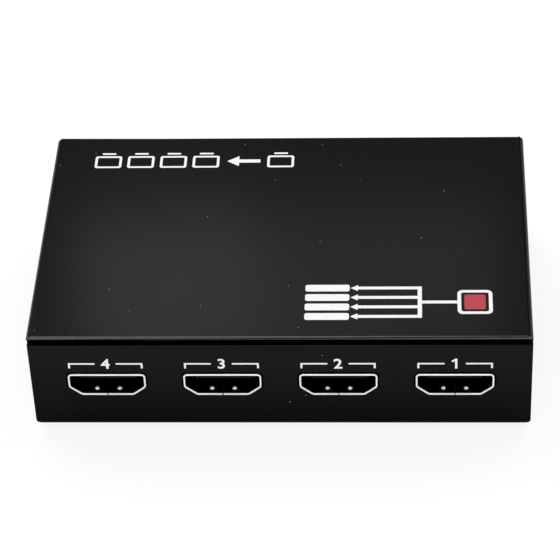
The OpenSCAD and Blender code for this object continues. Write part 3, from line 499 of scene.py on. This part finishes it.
def ink(name, colour):
    """Screen-printed ink: a slightly uneven film with soft grain."""
    material, tree, face = new_material(name)
    grain = placed(tree, "grain", Fine_scale=4200, Broad_scale=900, Pits=0.3)
    tree.links.new(shade(tree, scaled(colour, 0.88), scaled(colour, 1.05), grain["Tone"]), face["Base Color"])
    tree.links.new(between(tree, grain["Height"], 0.4, 0.62), face["Roughness"])
    tree.links.new(bumped(tree, grain["Height"], 0.006 * MM, 0.3), face["Normal"])
    face["Specular IOR Level"].default_value = 0.3
    return material


FINISHES = {}


def finish(name):
    """The finish of that name, made when it is first asked for."""
    scene = bpy.context.scene
    plastic = scene.splitter_socket.plastic_colour
    makers = {
        "coat": powder_coat,
        "nickel": lambda: nickel("nickel_with_painted_light", scene.splitter_socket.lip_haze),
        "spring": lambda: nickel("spring_nickel", scene.splitter_socket.bump_haze),
        "gold": gold,
        "black_zinc": black_zinc,
        "board": solder_mask,
        "lens": red_lens,
        "insulator": lambda: moulded("black_insulator", plastic, (0.5, 0.7), 2600, 0.12),
        "jack": lambda: moulded("jack_plastic", plastic, (0.34, 0.52), 1900),
        "rubber": lambda: moulded("foot_rubber", (0.016, 0.016, 0.016), (0.72, 0.9), 1500, 0.25),
        "chip": lambda: moulded("chip_moulding", (0.022, 0.022, 0.024), (0.5, 0.7), 3200),
        "pad": lambda: moulded("thermal_pad", (0.30, 0.36, 0.42), (0.7, 0.9), 1200, 0.2),
        "ferrite": lambda: moulded("ferrite", (0.06, 0.06, 0.058), (0.55, 0.8), 900, 0.3),
        "ceramic": lambda: moulded("fired_ceramic", (0.36, 0.24, 0.13), (0.3, 0.45), 2200),
        "tin": lambda: metal("tin_plate", (0.72, 0.72, 0.71), (0.24, 0.42)),
        "zinc": lambda: metal("zinc_plate", (0.66, 0.67, 0.70), (0.2, 0.36)),
        "standoff": lambda: metal("standoff_plate", (0.68, 0.66, 0.60), (0.24, 0.4)),
        "sink": lambda: metal("anodised_sink", (0.50, 0.51, 0.53), (0.32, 0.5), 2600, 40, 0.01),
        "can": lambda: metal("can_aluminium", (0.76, 0.77, 0.78), (0.2, 0.34), 3600, 90),
        "ink": lambda: ink("white_ink", scene.splitter_marks.ink_colour),
        "accent": lambda: ink("red_ink", scene.splitter_marks.accent_colour),
    }
    if name not in FINISHES:
        FINISHES[name] = makers[name]()
    return FINISHES[name]


# Pieces

def keep(node, look):
    """A solid whose shape is right as it is: only its finish changes."""
    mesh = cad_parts[node].data
    mesh.materials.clear()
    mesh.materials.append(finish(look))


def shown(name, mesh, look, body):
    """A new object for a mesh, riding on a body."""
    obj = bpy.data.objects.new(name, mesh)
    bpy.context.scene.collection.objects.link(obj)
    mesh.materials.append(finish(look))
    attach(obj, body)
    return obj


def rounded(node, look, edge, body="case", steps=2, pick=None, rim=None, cuts=(), painted_light=None):
    """The same piece as a solid, with its sharp edges rounded over.

    All places are in millimetres. pick chooses the edges to round, by their middles. rim says how far the
    coat is rubbed at a face's middle, on the cover also a painted highlight, and polish marks at a face's
    corner where the metal gets its painted highlight and where it gets its painted shade. cuts are planes
    across y where the mesh is split for that.
    """
    bm = bmesh.new()
    bm.from_mesh(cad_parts[node].data)
    bmesh.ops.scale(bm, vec=(1 / MM,) * 3, verts=bm.verts)
    bmesh.ops.remove_doubles(bm, verts=bm.verts, dist=WELD)
    bmesh.ops.dissolve_limit(
        bm, angle_limit=FLAT_ANGLE, use_dissolve_boundaries=False, verts=bm.verts, edges=bm.edges)
    for y in cuts:
        everything = bm.verts[:] + bm.edges[:] + bm.faces[:]
        bmesh.ops.bisect_plane(bm, geom=everything, dist=CUT_SNAP, plane_co=(0, y, 0), plane_no=(0, 1, 0))
    bm.normal_update()
    rubbed = bm.loops.layers.float.new("rim")
    bright = bm.loops.layers.float.new("painted_light")
    corners = [
        e for e in bm.edges
        if e.is_manifold and e.calc_face_angle(0) > SHARP_ANGLE
        and (pick is None or pick((e.verts[0].co + e.verts[1].co) / 2))]
    made = bmesh.ops.bevel(
        bm, geom=corners, offset=edge / MM, offset_type="OFFSET", segments=steps, profile=0.5,
        affect="EDGES", clamp_overlap=False, miter_outer="ARC")
    if rim is None:
        for face in made["faces"]:
            for loop in face.loops:
                loop[rubbed] = 1
    for face in bm.faces:
        face.smooth = True
        centre = face.calc_center_median()
        # On the cover the rim value is also a painted highlight.
        worn = rim(centre) if rim else None
        for loop in face.loops:
            if worn is not None:
                loop[rubbed] = worn
            if painted_light:
                loop[bright] = painted_light(loop)
    for e in bm.edges:
        e.smooth = e.is_manifold and e.calc_face_angle(0) < CREASE_ANGLE
    bmesh.ops.scale(bm, vec=(MM,) * 3, verts=bm.verts)
    low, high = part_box(node)
    for v in bm.verts:
        if min(v.co - low) < -PAST_SOLID * MM or min(high - v.co) < -PAST_SOLID * MM:
            raise RuntimeError("rounding took " + node + " past its solid")
    mesh = bpy.data.meshes.new(node + "_dressed")
    bm.to_mesh(mesh)
    bm.free()
    obj = shown(node + "_dressed", mesh, look, body)
    even = obj.modifiers.new("even_normals", "WEIGHTED_NORMAL")
    even.keep_sharp = True
    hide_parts(node)
    return obj


def band(bm, outer, inner, place, low, high):
    """A thin closed band between two loops of the same length."""
    rings = [
        [bm.verts.new(place(x, y, h)) for x, y in loop]
        for loop in (outer, inner) for h in (low, high)]
    out_low, out_high, in_low, in_high = rings
    for i in range(len(outer)):
        j = (i + 1) % len(outer)
        bm.faces.new((out_high[i], out_high[j], in_high[j], in_high[i]))
        bm.faces.new((in_low[i], in_low[j], out_low[j], out_low[i]))
        bm.faces.new((out_low[i], out_low[j], out_high[j], out_high[i]))
        bm.faces.new((in_low[j], in_low[i], in_high[i], in_high[j]))


def plate(bm, loop, place, low, high):
    """A thin closed plate inside one loop."""
    under = [bm.verts.new(place(x, y, low)) for x, y in loop]
    over = [bm.verts.new(place(x, y, high)) for x, y in loop]
    bm.faces.new(over)
    bm.faces.new(under[::-1])
    for i in range(len(loop)):
        j = (i + 1) % len(loop)
        bm.faces.new((under[i], under[j], over[j], over[i]))


def arc_points(r, start, sweep, steps=30):
    """Points along an arc round the origin, from start over sweep degrees."""
    turns = [math.radians(start + sweep * k / steps) for k in range(steps + 1)]
    return [(r * math.cos(turn), r * math.sin(turn)) for turn in turns]


def box_loop(x0, y0, x1, y1, r=0.0, steps=5):
    """A rectangle with rounded corners, counter-clockwise."""
    if r <= 0:
        return [(x0, y0), (x1, y0), (x1, y1), (x0, y1)]
    left, right, bottom, top = x0 + r, x1 - r, y0 + r, y1 - r
    corners = ((right, bottom, -90), (right, top, 0), (left, top, 90), (left, bottom, 180))
    return [
        (cx + dx, cy + dy)
        for cx, cy, start in corners for dx, dy in arc_points(r, start, 90, steps)]


def disc_loop(x, y, r, steps=28):
    """A full circle round (x, y)."""
    return [
        (x + r * math.cos(2 * math.pi * k / steps), y + r * math.sin(2 * math.pi * k / steps))
        for k in range(steps)]


def ribbon_loop(points, w):
    """The outline of a line of width w through the points, with mitred corners."""
    mitre_limit = 0.3
    left, right = [], []
    for i, (x, y) in enumerate(points):
        before = Vector(points[max(i - 1, 0)])
        after = Vector(points[min(i + 1, len(points) - 1)])
        here = Vector((x, y))
        a = (here - before).normalized() if i else (after - here).normalized()
        b = (after - here).normalized() if i < len(points) - 1 else a
        normal = Vector((-(a + b).y, (a + b).x)).normalized()
        reach = w / 2 / max(mitre_limit, normal.dot(Vector((-a.y, a.x))))
        left.append(tuple(here + normal * reach))
        right.append(tuple(here - normal * reach))
    return right + left[::-1]


def on_front(x, z):
    """Places drawing points, in millimetres, on the front panel round (x, z)."""
    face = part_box("base_tray")[0].y
    return lambda u, v, h: Vector((x + u * MM, face - h, z + v * MM))


def on_rear(x, z):
    """As above on the rear panel, drawn to be read from behind the case."""
    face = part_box("base_tray")[1].y
    return lambda u, v, h: Vector((x - u * MM, face + h, z + v * MM))


def on_cover(x, y):
    """As above on the cover round (x, y), also to be read from behind the case."""
    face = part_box("top_cover")[1].z
    return lambda u, v, h: Vector((x - u * MM, y - v * MM, face + h))


def print_marks(name, look, draw):
    """One printed piece: draw fills a mesh with thin closed shapes."""
    thick = bpy.context.scene.splitter_marks.ink_thickness
    bm = bmesh.new()
    sunk = thick / 4
    draw(bm, -sunk, thick)
    bmesh.ops.recalc_face_normals(bm, faces=bm.faces)
    mesh = bpy.data.meshes.new(name)
    bm.to_mesh(mesh)
    bm.free()
    return shown(name, mesh, look, "case")


def numeral(bm, text, height, place, low, high):
    """A plain number, centred, as a thin closed plate: the 1 drawn here, the others in Blender's own font."""
    if text == "1":
        outline = [
            (0.16, -0.5), (0.16, 0.5), (0.02, 0.5), (-0.28, 0.27),
            (-0.19, 0.14), (-0.01, 0.27), (-0.01, -0.5)]
        plate(bm, [(x * height / MM, y * height / MM) for x, y in outline], place, low, high)
        return
    curve = bpy.data.curves.new("numeral", "FONT")
    curve.body = text
    curve.size = 1
    curve.align_x = "CENTER"
    curve.resolution_u = 6
    curve.offset = 0.018
    curve.fill_mode = "FRONT"
    obj = bpy.data.objects.new("numeral", curve)
    bpy.context.scene.collection.objects.link(obj)
    bpy.context.view_layer.update()
    shape = bpy.data.meshes.new_from_object(obj.evaluated_get(bpy.context.evaluated_depsgraph_get()))
    ys = [v.co.y for v in shape.vertices]
    xs = [v.co.x for v in shape.vertices]
    k = height / MM / (max(ys) - min(ys))
    cx, cy = (max(xs) + min(xs)) / 2, (max(ys) + min(ys)) / 2
    flat = bmesh.new()
    flat.from_mesh(shape)
    bmesh.ops.remove_doubles(flat, verts=flat.verts, dist=1e-5)
    under, over = [
        {v: bm.verts.new(place((v.co.x - cx) * k, (v.co.y - cy) * k, h)) for v in flat.verts}
        for h in (low, high)]
    for face in flat.faces:
        bm.faces.new([over[v] for v in face.verts])
        bm.faces.new([under[v] for v in reversed(face.verts)])
    for e in flat.edges:
        if e.is_boundary:
            a, b = e.verts
            bm.faces.new((under[a], under[b], over[b], over[a]))
    flat.free()
    bpy.data.objects.remove(obj)
    bpy.data.curves.remove(curve)
    bpy.data.meshes.remove(shape)


def middle(node):
    """The middle of a node's box."""
    low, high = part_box(node)
    return (low + high) / 2


# Operators

class SPLITTER_OT_cover(bpy.types.Operator):
    """Folded cover in black powder coat"""
    bl_idname = "splitter.cover"
    bl_label = "Cover"

    def execute(self, context):
        low, high = [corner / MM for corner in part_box("top_cover")]
        # In millimetres, a little less and a little more than the sheet's thickness
        under_sheet, over_sheet = 0.75, 0.82
        rub_and_highlight_depth = 0.2

        def cut_edge(at):
            outside = at.z > high.z - ON_FACE or abs(at.x) > high.x - under_sheet
            at_foot = abs(at.x) > high.x - ON_FACE and at.z < low.z + ON_FACE
            return (abs(at.y) > high.y - ON_FACE and outside) or at_foot

        # The top front and rear edges get the edge colour: rubbed coat and a painted highlight along them.
        def rubbed(at):
            return 1.0 if abs(at.y) > high.y - rub_and_highlight_depth and at.z > high.z - over_sheet else 0.0

        edge = context.scene.splitter_case.cover_edge
        rounded("top_cover", "coat", edge, steps=4, pick=cut_edge, rim=rubbed)
        return {"FINISHED"}


class SPLITTER_OT_tray(bpy.types.Operator):
    """Folded tray with both end panels, in black powder coat"""
    bl_idname = "splitter.tray"
    bl_label = "Tray"

    def execute(self, context):
        low, high = [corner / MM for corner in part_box("base_tray")]
        bend_height = 1.6

        def outer_edge(at):
            return abs(at.y) > high.y - ON_FACE and at.z > low.z + bend_height

        edge = context.scene.splitter_case.tray_edge
        rounded("base_tray", "coat", edge, pick=outer_edge, rim=lambda at: 0.0)
        return {"FINISHED"}


class SPLITTER_OT_screws(bpy.types.Operator):
    """Countersunk screws in the sides of the cover"""
    bl_idname = "splitter.screws"
    bl_label = "Cover screws"

    def execute(self, context):
        rounded("cover_screws", "black_zinc", context.scene.splitter_case.screw_edge)
        return {"FINISHED"}


class SPLITTER_OT_feet(bpy.types.Operator):
    """Glued rubber feet"""
    bl_idname = "splitter.feet"
    bl_label = "Feet"

    def execute(self, context):
        rounded("rubber_feet", "rubber", context.scene.splitter_case.foot_edge, steps=3)
        return {"FINISHED"}


class SPLITTER_OT_sockets(bpy.types.Operator):
    """Nickel shells and sprung fingers, insulators and contacts of the five sockets"""
    bl_idname = "splitter.sockets"
    bl_label = "Video sockets"

    def execute(self, context):
        look = context.scene.splitter_socket
        for name in SOCKETS:
            low, high = [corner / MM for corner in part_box(name + "_shell")]
            out = 1 if low.y > 0 else -1
            mouth = max(abs(low.y), abs(high.y))

            # The lip's painted highlight, fading into painted shade between LIP_BRIGHT and LIP_END behind the
            # mouth.
            def lip(loop):
                fade = (LIP_END - mouth + abs(loop.vert.co.y)) / (LIP_END - LIP_BRIGHT)
                return max(0.0, min(1.0, fade))

            rounded(
                name + "_shell", "nickel", look.lip_edge, painted_light=lip,
                cuts=[out * (mouth - depth) for depth in (LIP_BRIGHT, LIP_END)],
                pick=lambda at: abs(at.y) > mouth - ON_FACE)
            tips = self.bump_tops(name + "_fingers")

            def aside(at):
                return min((at - tip).xy.length for tip in tips)

            # A bump's faces get the painted highlight; the rest of the finger keeps the painted shade.
            def bump(loop):
                return 1.0 if all(aside(v.co) < BUMP_BRIGHT for v in loop.face.verts) else 0.0

            def strip_or_flat(at):
                return aside(at) > BUMP_FOOT or aside(at) < BUMP_FLAT

            rounded(
                name + "_fingers", "spring", FINGER_EDGE * MM, body=name + "_spring",
                pick=strip_or_flat, painted_light=bump)
            keep(name + "_insulator", "insulator")
            keep(name + "_contacts", "gold")
        return {"FINISHED"}

    def bump_tops(self, node):
        """The middle of the flat on each of a socket's two bumps, in millimetres."""
        centre = middle(node).x
        places = [v.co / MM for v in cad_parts[node].data.vertices]
        tops = []
        for right in (False, True):
            half = [at for at in places if (at.x > centre / MM) == right]
            peak = max(at.z for at in half)
            flat = [at for at in half if at.z > peak - BUMP_FLAT_DEPTH]
            low = Vector([min(at[i] for at in flat) for i in range(3)])
            high = Vector([max(at[i] for at in flat) for i in range(3)])
            tops.append((low + high) / 2)
        return tops


class SPLITTER_OT_jack(bpy.types.Operator):
    """Power jack: moulded housing, centre pin and sprung leaf"""
    bl_idname = "splitter.jack"
    bl_label = "Power jack"

    def execute(self, context):
        look = context.scene.splitter_socket
        rounded("jack_housing", "jack", look.moulded_edge)
        for node in ("jack_pin", "jack_leaf", "jack_leaf_lug"):
            keep(node, "tin")
        return {"FINISHED"}


class SPLITTER_OT_light(bpy.types.Operator):
    """Power light: tinted lens and its leads"""
    bl_idname = "splitter.light"
    bl_label = "Power light"

    def execute(self, context):
        keep("power_light_lens", "lens")
        keep("power_light_leads", "tin")
        return {"FINISHED"}


class SPLITTER_OT_board(bpy.types.Operator):
    """Circuit board with everything that stands on it"""
    bl_idname = "splitter.board"
    bl_label = "Circuit board"

    def execute(self, context):
        looks = {
            "circuit_board": "board", "standoffs": "standoff", "board_screws": "zinc",
            "splitter_chip": "chip", "splitter_chip_leads": "tin", "thermal_pad": "pad", "heat_sink": "sink",
            "crystal": "can", "memory_chips": "chip", "memory_leads": "tin", "regulators": "chip",
            "regulator_leads": "tin", "power_inductor": "ferrite", "capacitor_cans": "can",
            "capacitor_bases": "insulator", "ceramic_capacitors": "ceramic", "resistors": "chip",
            "surge_protectors": "chip"}
        for node, look in looks.items():
            keep(node, look)
        return {"FINISHED"}


class SPLITTER_OT_socket_marks(bpy.types.Operator):
    """A plain number in a bracket over each output, and an arrow in a bracket over the input"""
    bl_idname = "splitter.socket_marks"
    bl_label = "Socket marks"

    def execute(self, context):
        height = context.scene.splitter_marks.number_height
        rise = 2.6 * MM

        def bracket(bm, place, low, high):
            inner, outer, drop, width = 2.0, 6.9, 1.15, 0.36
            for side in (-1, 1):
                line = [(side * inner, 0.0), (side * outer, 0.0), (side * outer, -drop)]
                plate(bm, ribbon_loop(line[::side], width), place, low, high)

        for n in (1, 2, 3, 4):
            shell = middle(f"output_{n}_shell")
            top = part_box(f"output_{n}_shell")[1].z
            place = on_front(shell.x, top + rise)

            def draw(bm, low, high):
                numeral(bm, str(n), height, place, low, high)
                bracket(bm, place, low, high)

            print_marks(f"output_{n}_mark", "ink", draw)
        shell = middle("input_shell")
        place = on_rear(shell.x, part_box("input_shell")[1].z + rise)

        def draw(bm, low, high):
            arrow = [(-1.1, 0.9), (0, -1.0), (1.1, 0.9)]
            plate(bm, arrow, place, low, high)
            bracket(bm, place, low, high)

        print_marks("input_mark", "ink", draw)
        return {"FINISHED"}


class SPLITTER_OT_power_marks(bpy.types.Operator):
    """Polarity sign by the power jack and a power sign over the light"""
    bl_idname = "splitter.power_marks"
    bl_label = "Power marks"

    def execute(self, context):
        jack = middle("jack_pin")
        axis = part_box("power_light_lens")
        z = (axis[0].z + axis[1].z) / 2
        below_light, above_light = 7.2 * MM, 4.2 * MM
        place = on_rear(jack.x, z - below_light)

        def polarity(bm, low, high):
            ring, ring_line, dot, half_line, reach = 1.15, 0.24, 0.42, 0.12, 2.3
            sign_at, sign_outer, sign_inner, sign_arm, half_arm = 3.15, 0.85, 0.66, 0.42, 0.09
            plate(bm, ribbon_loop(arc_points(ring, 40, 280), ring_line), place, low, high)
            plate(bm, disc_loop(0, 0, dot), place, low, high)
            plate(bm, box_loop(dot, -half_line, reach, half_line), place, low, high)
            plate(bm, box_loop(-reach, -half_line, -ring - half_line, half_line), place, low, high)
            for x in (-sign_at, sign_at):
                band(bm, disc_loop(x, 0, sign_outer), disc_loop(x, 0, sign_inner), place, low, high)
                plate(bm, box_loop(x - sign_arm, -half_arm, x + sign_arm, half_arm), place, low, high)
            for start, end in ((-sign_arm, -half_arm), (half_arm, sign_arm)):
                plate(bm, box_loop(sign_at - half_arm, start, sign_at + half_arm, end), place, low, high)

        print_marks("polarity_mark", "ink", polarity)
        light = (axis[0].x + axis[1].x) / 2
        spot = on_rear(light, z + above_light)

        def power(bm, low, high):
            ring, line, bar_bottom, bar_top = 0.95, 0.26, 0.1, 1.25
            plate(bm, ribbon_loop(arc_points(ring, 125, 290), line), spot, low, high)
            plate(bm, box_loop(-line / 2, bar_bottom, line / 2, bar_top), spot, low, high)

        print_marks("light_mark", "ink", power)
        return {"FINISHED"}


class SPLITTER_OT_cover_marks(bpy.types.Operator):
    """Plain line drawings on the cover: one source and four screens, and one line that branches into four"""
    bl_idname = "splitter.cover_marks"
    bl_label = "Cover marks"

    def execute(self, context):
        row = on_cover(-18.5 * MM, 22.8 * MM)

        def screen(bm, x, low, high):
            half_width, bottom, top, line = 2.7, -1.5, 2.3, 0.5
            half_foot, foot_bottom, foot_top = 1.4, -2.5, -2.0
            outline = box_loop(x - half_width, bottom, x + half_width, top, 0.5)
            opening = box_loop(x - half_width + line, bottom + line, x + half_width - line, top - line, 0.25)
            band(bm, outline, opening, row, low, high)
            plate(bm, box_loop(x - half_foot, foot_bottom, x + half_foot, foot_top, 0.2), row, low, high)

        def screens(bm, low, high):
            source_at, first_at, pitch = -17, -1.9, 6.6
            arrow = [
                (-12.9, -0.25), (-8.6, -0.25), (-8.6, -1.35), (-6.2, 0.25),
                (-8.6, 1.85), (-8.6, 0.75), (-12.9, 0.75)]
            screen(bm, source_at, low, high)
            plate(bm, arrow, row, low, high)
            for k in range(4):
                screen(bm, first_at + pitch * k, low, high)

        print_marks("screen_row_mark", "ink", screens)
        tree = on_cover(22.3 * MM, -20.6 * MM)

        def branches(bm, low, high):
            frame_left, frame_right, half_frame, frame_line = -17.8, -11.2, 3.4, 0.7
            trunk, half_line, ends = -4.5, 0.4, (4.05, 1.35, -1.35, -4.05)
            arrow_from, arrow_to, half_arrow = 7.6, 9.0, 0.85
            block_left, block_right, half_block = 9.2, 17.6, 0.95
            fork = trunk + 2 * half_line
            reach = ends[0] + half_line
            plate(bm, box_loop(frame_right, -half_line, trunk, half_line), tree, low, high)
            plate(bm, box_loop(trunk, -reach, fork, reach), tree, low, high)
            for y in ends:
                arrow = [(arrow_from, y - half_arrow), (arrow_to, y), (arrow_from, y + half_arrow)]
                plate(bm, box_loop(fork, y - half_line, arrow_from, y + half_line), tree, low, high)
                block = box_loop(block_left, y - half_block, block_right, y + half_block, 0.45)
                plate(bm, block, tree, low, high)
                plate(bm, arrow, tree, low, high)
            outline = box_loop(frame_left, -half_frame, frame_right, half_frame, 1.0)
            inner = half_frame - frame_line
            opening = box_loop(frame_left + frame_line, -inner, frame_right - frame_line, inner, 0.5)
            band(bm, outline, opening, tree, low, high)

        print_marks("branch_mark", "ink", branches)

        def source(bm, low, high):
            plate(bm, box_loop(-16.5, -2.1, -12.5, 2.1, 0.4), tree, low, high)

        print_marks("branch_source_mark", "accent", source)
        return {"FINISHED"}


class SPLITTER_OT_stage(bpy.types.Operator):
    """Pale floor, soft lights, sky and the camera"""
    bl_idname = "splitter.stage"
    bl_label = "Stage"

    def execute(self, context):
        scene, look = context.scene, context.scene.splitter_stage
        half = look.floor_size / 2
        mesh = bpy.data.meshes.new("floor")
        mesh.from_pydata(
            [(-half, -half, 0), (half, -half, 0), (half, half, 0), (-half, half, 0)], [], [(0, 1, 2, 3)])
        floor = bpy.data.objects.new("floor", mesh)
        scene.collection.objects.link(floor)
        mesh.materials.append(self.floor_material(look))
        left_share = 0.36
        lamps = (
            ("key", (-0.34, 0.36, 0.66), (0.45, 0.45), look.key_power),
            ("side", (0.36, 0.38, 0.64), (0.45, 0.45), look.side_power),
            ("front", (0.06, -0.85, 0.43), (0.80, 0.42), look.front_power),
            ("high", (0.03, -0.60, 0.72), (0.40, 0.36), look.high_power),
            ("sheen_wide", (-0.0100, 0.1750, 0.1959), (0.124, 0.050), look.sheen_power),
            ("sheen_left", (-0.0457, 0.1750, 0.1959), (0.054, 0.050), look.sheen_power * left_share))
        for name, place, size, power in lamps:
            self.area_light(scene, name, place, size, power)
        self.sky(scene, look)
        self.camera(scene, look)
        scene.view_settings.view_transform = "Standard"
        return {"FINISHED"}

    def floor_material(self, look):
        """To the camera white with a light shadow, to gloss white that darkens close by in a painted shadow,
        else pale.
        """
        material = bpy.data.materials.new("pale_floor")
        material.use_nodes = True
        tree = material.node_tree
        tree.nodes.remove(tree.nodes["Principled BSDF"])
        link = tree.links.new
        path = add(tree, "ShaderNodeLightPath").outputs
        straight = add(tree, "ShaderNodeMath", operation="MAXIMUM")
        bounce = add(tree, "ShaderNodeBsdfDiffuse")
        bounce.inputs["Color"].default_value = (*look.floor_colour, 1)
        # Painted shadow: in reflections the floor darkens the shorter the ray, under and in front of the
        # case.
        near = add(tree, "ShaderNodeBsdfDiffuse")
        near.inputs["Color"].default_value = (0.35, 0.35, 0.35, 1)
        far = add(tree, "ShaderNodeEmission")
        far.inputs["Strength"].default_value = 0.97
        reach = add(tree, "ShaderNodeMapRange")
        reach.inputs["From Min"].default_value = 1 * MM
        reach.inputs["From Max"].default_value = 27 * MM
        reach.inputs["To Max"].default_value = 0.85
        mirrored = add(tree, "ShaderNodeMixShader")
        shadowed = add(tree, "ShaderNodeBsdfDiffuse")
        shadowed.inputs["Color"].default_value = (0.2, 0.2, 0.2, 1)
        glow = add(tree, "ShaderNodeEmission")
        glow.inputs["Strength"].default_value = 0.82
        white = add(tree, "ShaderNodeAddShader")
        indirect = add(tree, "ShaderNodeMixShader")
        both = add(tree, "ShaderNodeMixShader")
        link(path["Is Camera Ray"], straight.inputs[0])
        link(path["Is Transmission Ray"], straight.inputs[1])
        link(path["Ray Length"], reach.inputs["Value"])
        link(reach.outputs["Result"], mirrored.inputs["Fac"])
        link(near.outputs[0], mirrored.inputs[1])
        link(far.outputs[0], mirrored.inputs[2])
        link(path["Is Glossy Ray"], indirect.inputs["Fac"])
        link(bounce.outputs[0], indirect.inputs[1])
        link(mirrored.outputs[0], indirect.inputs[2])
        link(shadowed.outputs[0], white.inputs[0])
        link(glow.outputs[0], white.inputs[1])
        link(straight.outputs["Value"], both.inputs["Fac"])
        link(indirect.outputs[0], both.inputs[1])
        link(white.outputs[0], both.inputs[2])
        link(both.outputs[0], tree.nodes["Material Output"].inputs["Surface"])
        return material

    def area_light(self, scene, name, place, size, power):
        """A soft rectangular light that faces the object."""
        data = bpy.data.lights.new(name, "AREA")
        data.shape = "RECTANGLE"
        data.size, data.size_y = size
        data.energy = power
        obj = bpy.data.objects.new(name, data)
        obj.visible_camera = False
        facing = Vector(place).to_track_quat("Z", "Y").to_matrix().to_4x4()
        obj.matrix_world = Matrix.Translation(place) @ facing
        scene.collection.objects.link(obj)

    def sky(self, scene, look):
        """White walls that darken into the ceiling."""
        world = bpy.data.worlds.new("studio")
        world.use_nodes = True
        scene.world = world
        tree = world.node_tree
        ground = tree.nodes["Background"]
        split = add(tree, "ShaderNodeSeparateXYZ")
        fade = add(tree, "ShaderNodeMapRange", interpolation_type="SMOOTHSTEP")
        fade.inputs["From Min"].default_value = 0.15
        fade.inputs["From Max"].default_value = 0.55
        fade.inputs["To Min"].default_value = 1
        fade.inputs["To Max"].default_value = look.ceiling_strength
        tree.links.new(add(tree, "ShaderNodeTexCoord").outputs["Generated"], split.inputs["Vector"])
        tree.links.new(split.outputs["Z"], fade.inputs["Value"])
        tree.links.new(fade.outputs["Result"], ground.inputs["Strength"])
        ground.inputs["Color"].default_value = (1, 1, 1, 1)

    def camera(self, scene, look):
        """A camera at the photograph's viewing angle."""
        data = bpy.data.cameras.new("camera")
        data.sensor_width = 36
        data.lens = look.lens
        data.clip_start = 0.01
        obj = bpy.data.objects.new("camera", data)
        right = Vector((0.998614, 0.037982, -0.036424))
        back = Vector((0.052558, -0.754661, 0.654006)).normalized()
        up = back.cross(right).normalized()
        turn = Matrix((up.cross(back), up, back)).transposed()
        obj.matrix_world = Matrix.Translation(look.camera_place) @ turn.to_4x4()
        scene.collection.objects.link(obj)
        scene.camera = obj


OPERATORS = (
    SPLITTER_OT_stage, SPLITTER_OT_cover, SPLITTER_OT_tray, SPLITTER_OT_screws, SPLITTER_OT_feet,
    SPLITTER_OT_sockets, SPLITTER_OT_jack, SPLITTER_OT_light, SPLITTER_OT_board,
    SPLITTER_OT_socket_marks, SPLITTER_OT_power_marks, SPLITTER_OT_cover_marks)
SETTINGS = {
    "splitter_case": CaseSettings, "splitter_socket": SocketSettings,
    "splitter_marks": MarkSettings, "splitter_stage": StageSettings}


class SPLITTER_PT_panel(bpy.types.Panel):
    """Lists the steps that dress the splitter"""
    bl_label = "Video splitter"
    bl_idname = "SPLITTER_PT_panel"
    bl_space_type = "VIEW_3D"
    bl_region_type = "UI"
    bl_category = "Splitter"

    def draw(self, context):
        for operator in OPERATORS:
            self.layout.operator(operator.bl_idname)
        for name, settings in SETTINGS.items():
            column = self.layout.column()
            for key in settings.__annotations__:
                column.prop(getattr(context.scene, name), key)


def register():
    for settings in SETTINGS.values():
        bpy.utils.register_class(settings)
    for name, settings in SETTINGS.items():
        setattr(bpy.types.Scene, name, PointerProperty(type=settings))
    for operator in OPERATORS:
        bpy.utils.register_class(operator)
    bpy.utils.register_class(SPLITTER_PT_panel)


def unregister():
    bpy.utils.unregister_class(SPLITTER_PT_panel)
    for operator in reversed(OPERATORS):
        bpy.utils.unregister_class(operator)
    for name in SETTINGS:
        delattr(bpy.types.Scene, name)
    for settings in reversed(list(SETTINGS.values())):
        bpy.utils.unregister_class(settings)


def main():
    register()
    bpy.ops.splitter.stage()
    bpy.ops.splitter.cover()
    bpy.ops.splitter.tray()
    bpy.ops.splitter.screws()
    bpy.ops.splitter.feet()
    bpy.ops.splitter.sockets()
    bpy.ops.splitter.jack()
    bpy.ops.splitter.light()
    bpy.ops.splitter.board()
    bpy.ops.splitter.socket_marks()
    bpy.ops.splitter.power_marks()
    bpy.ops.splitter.cover_marks()


if __name__ == "__main__":
    main()
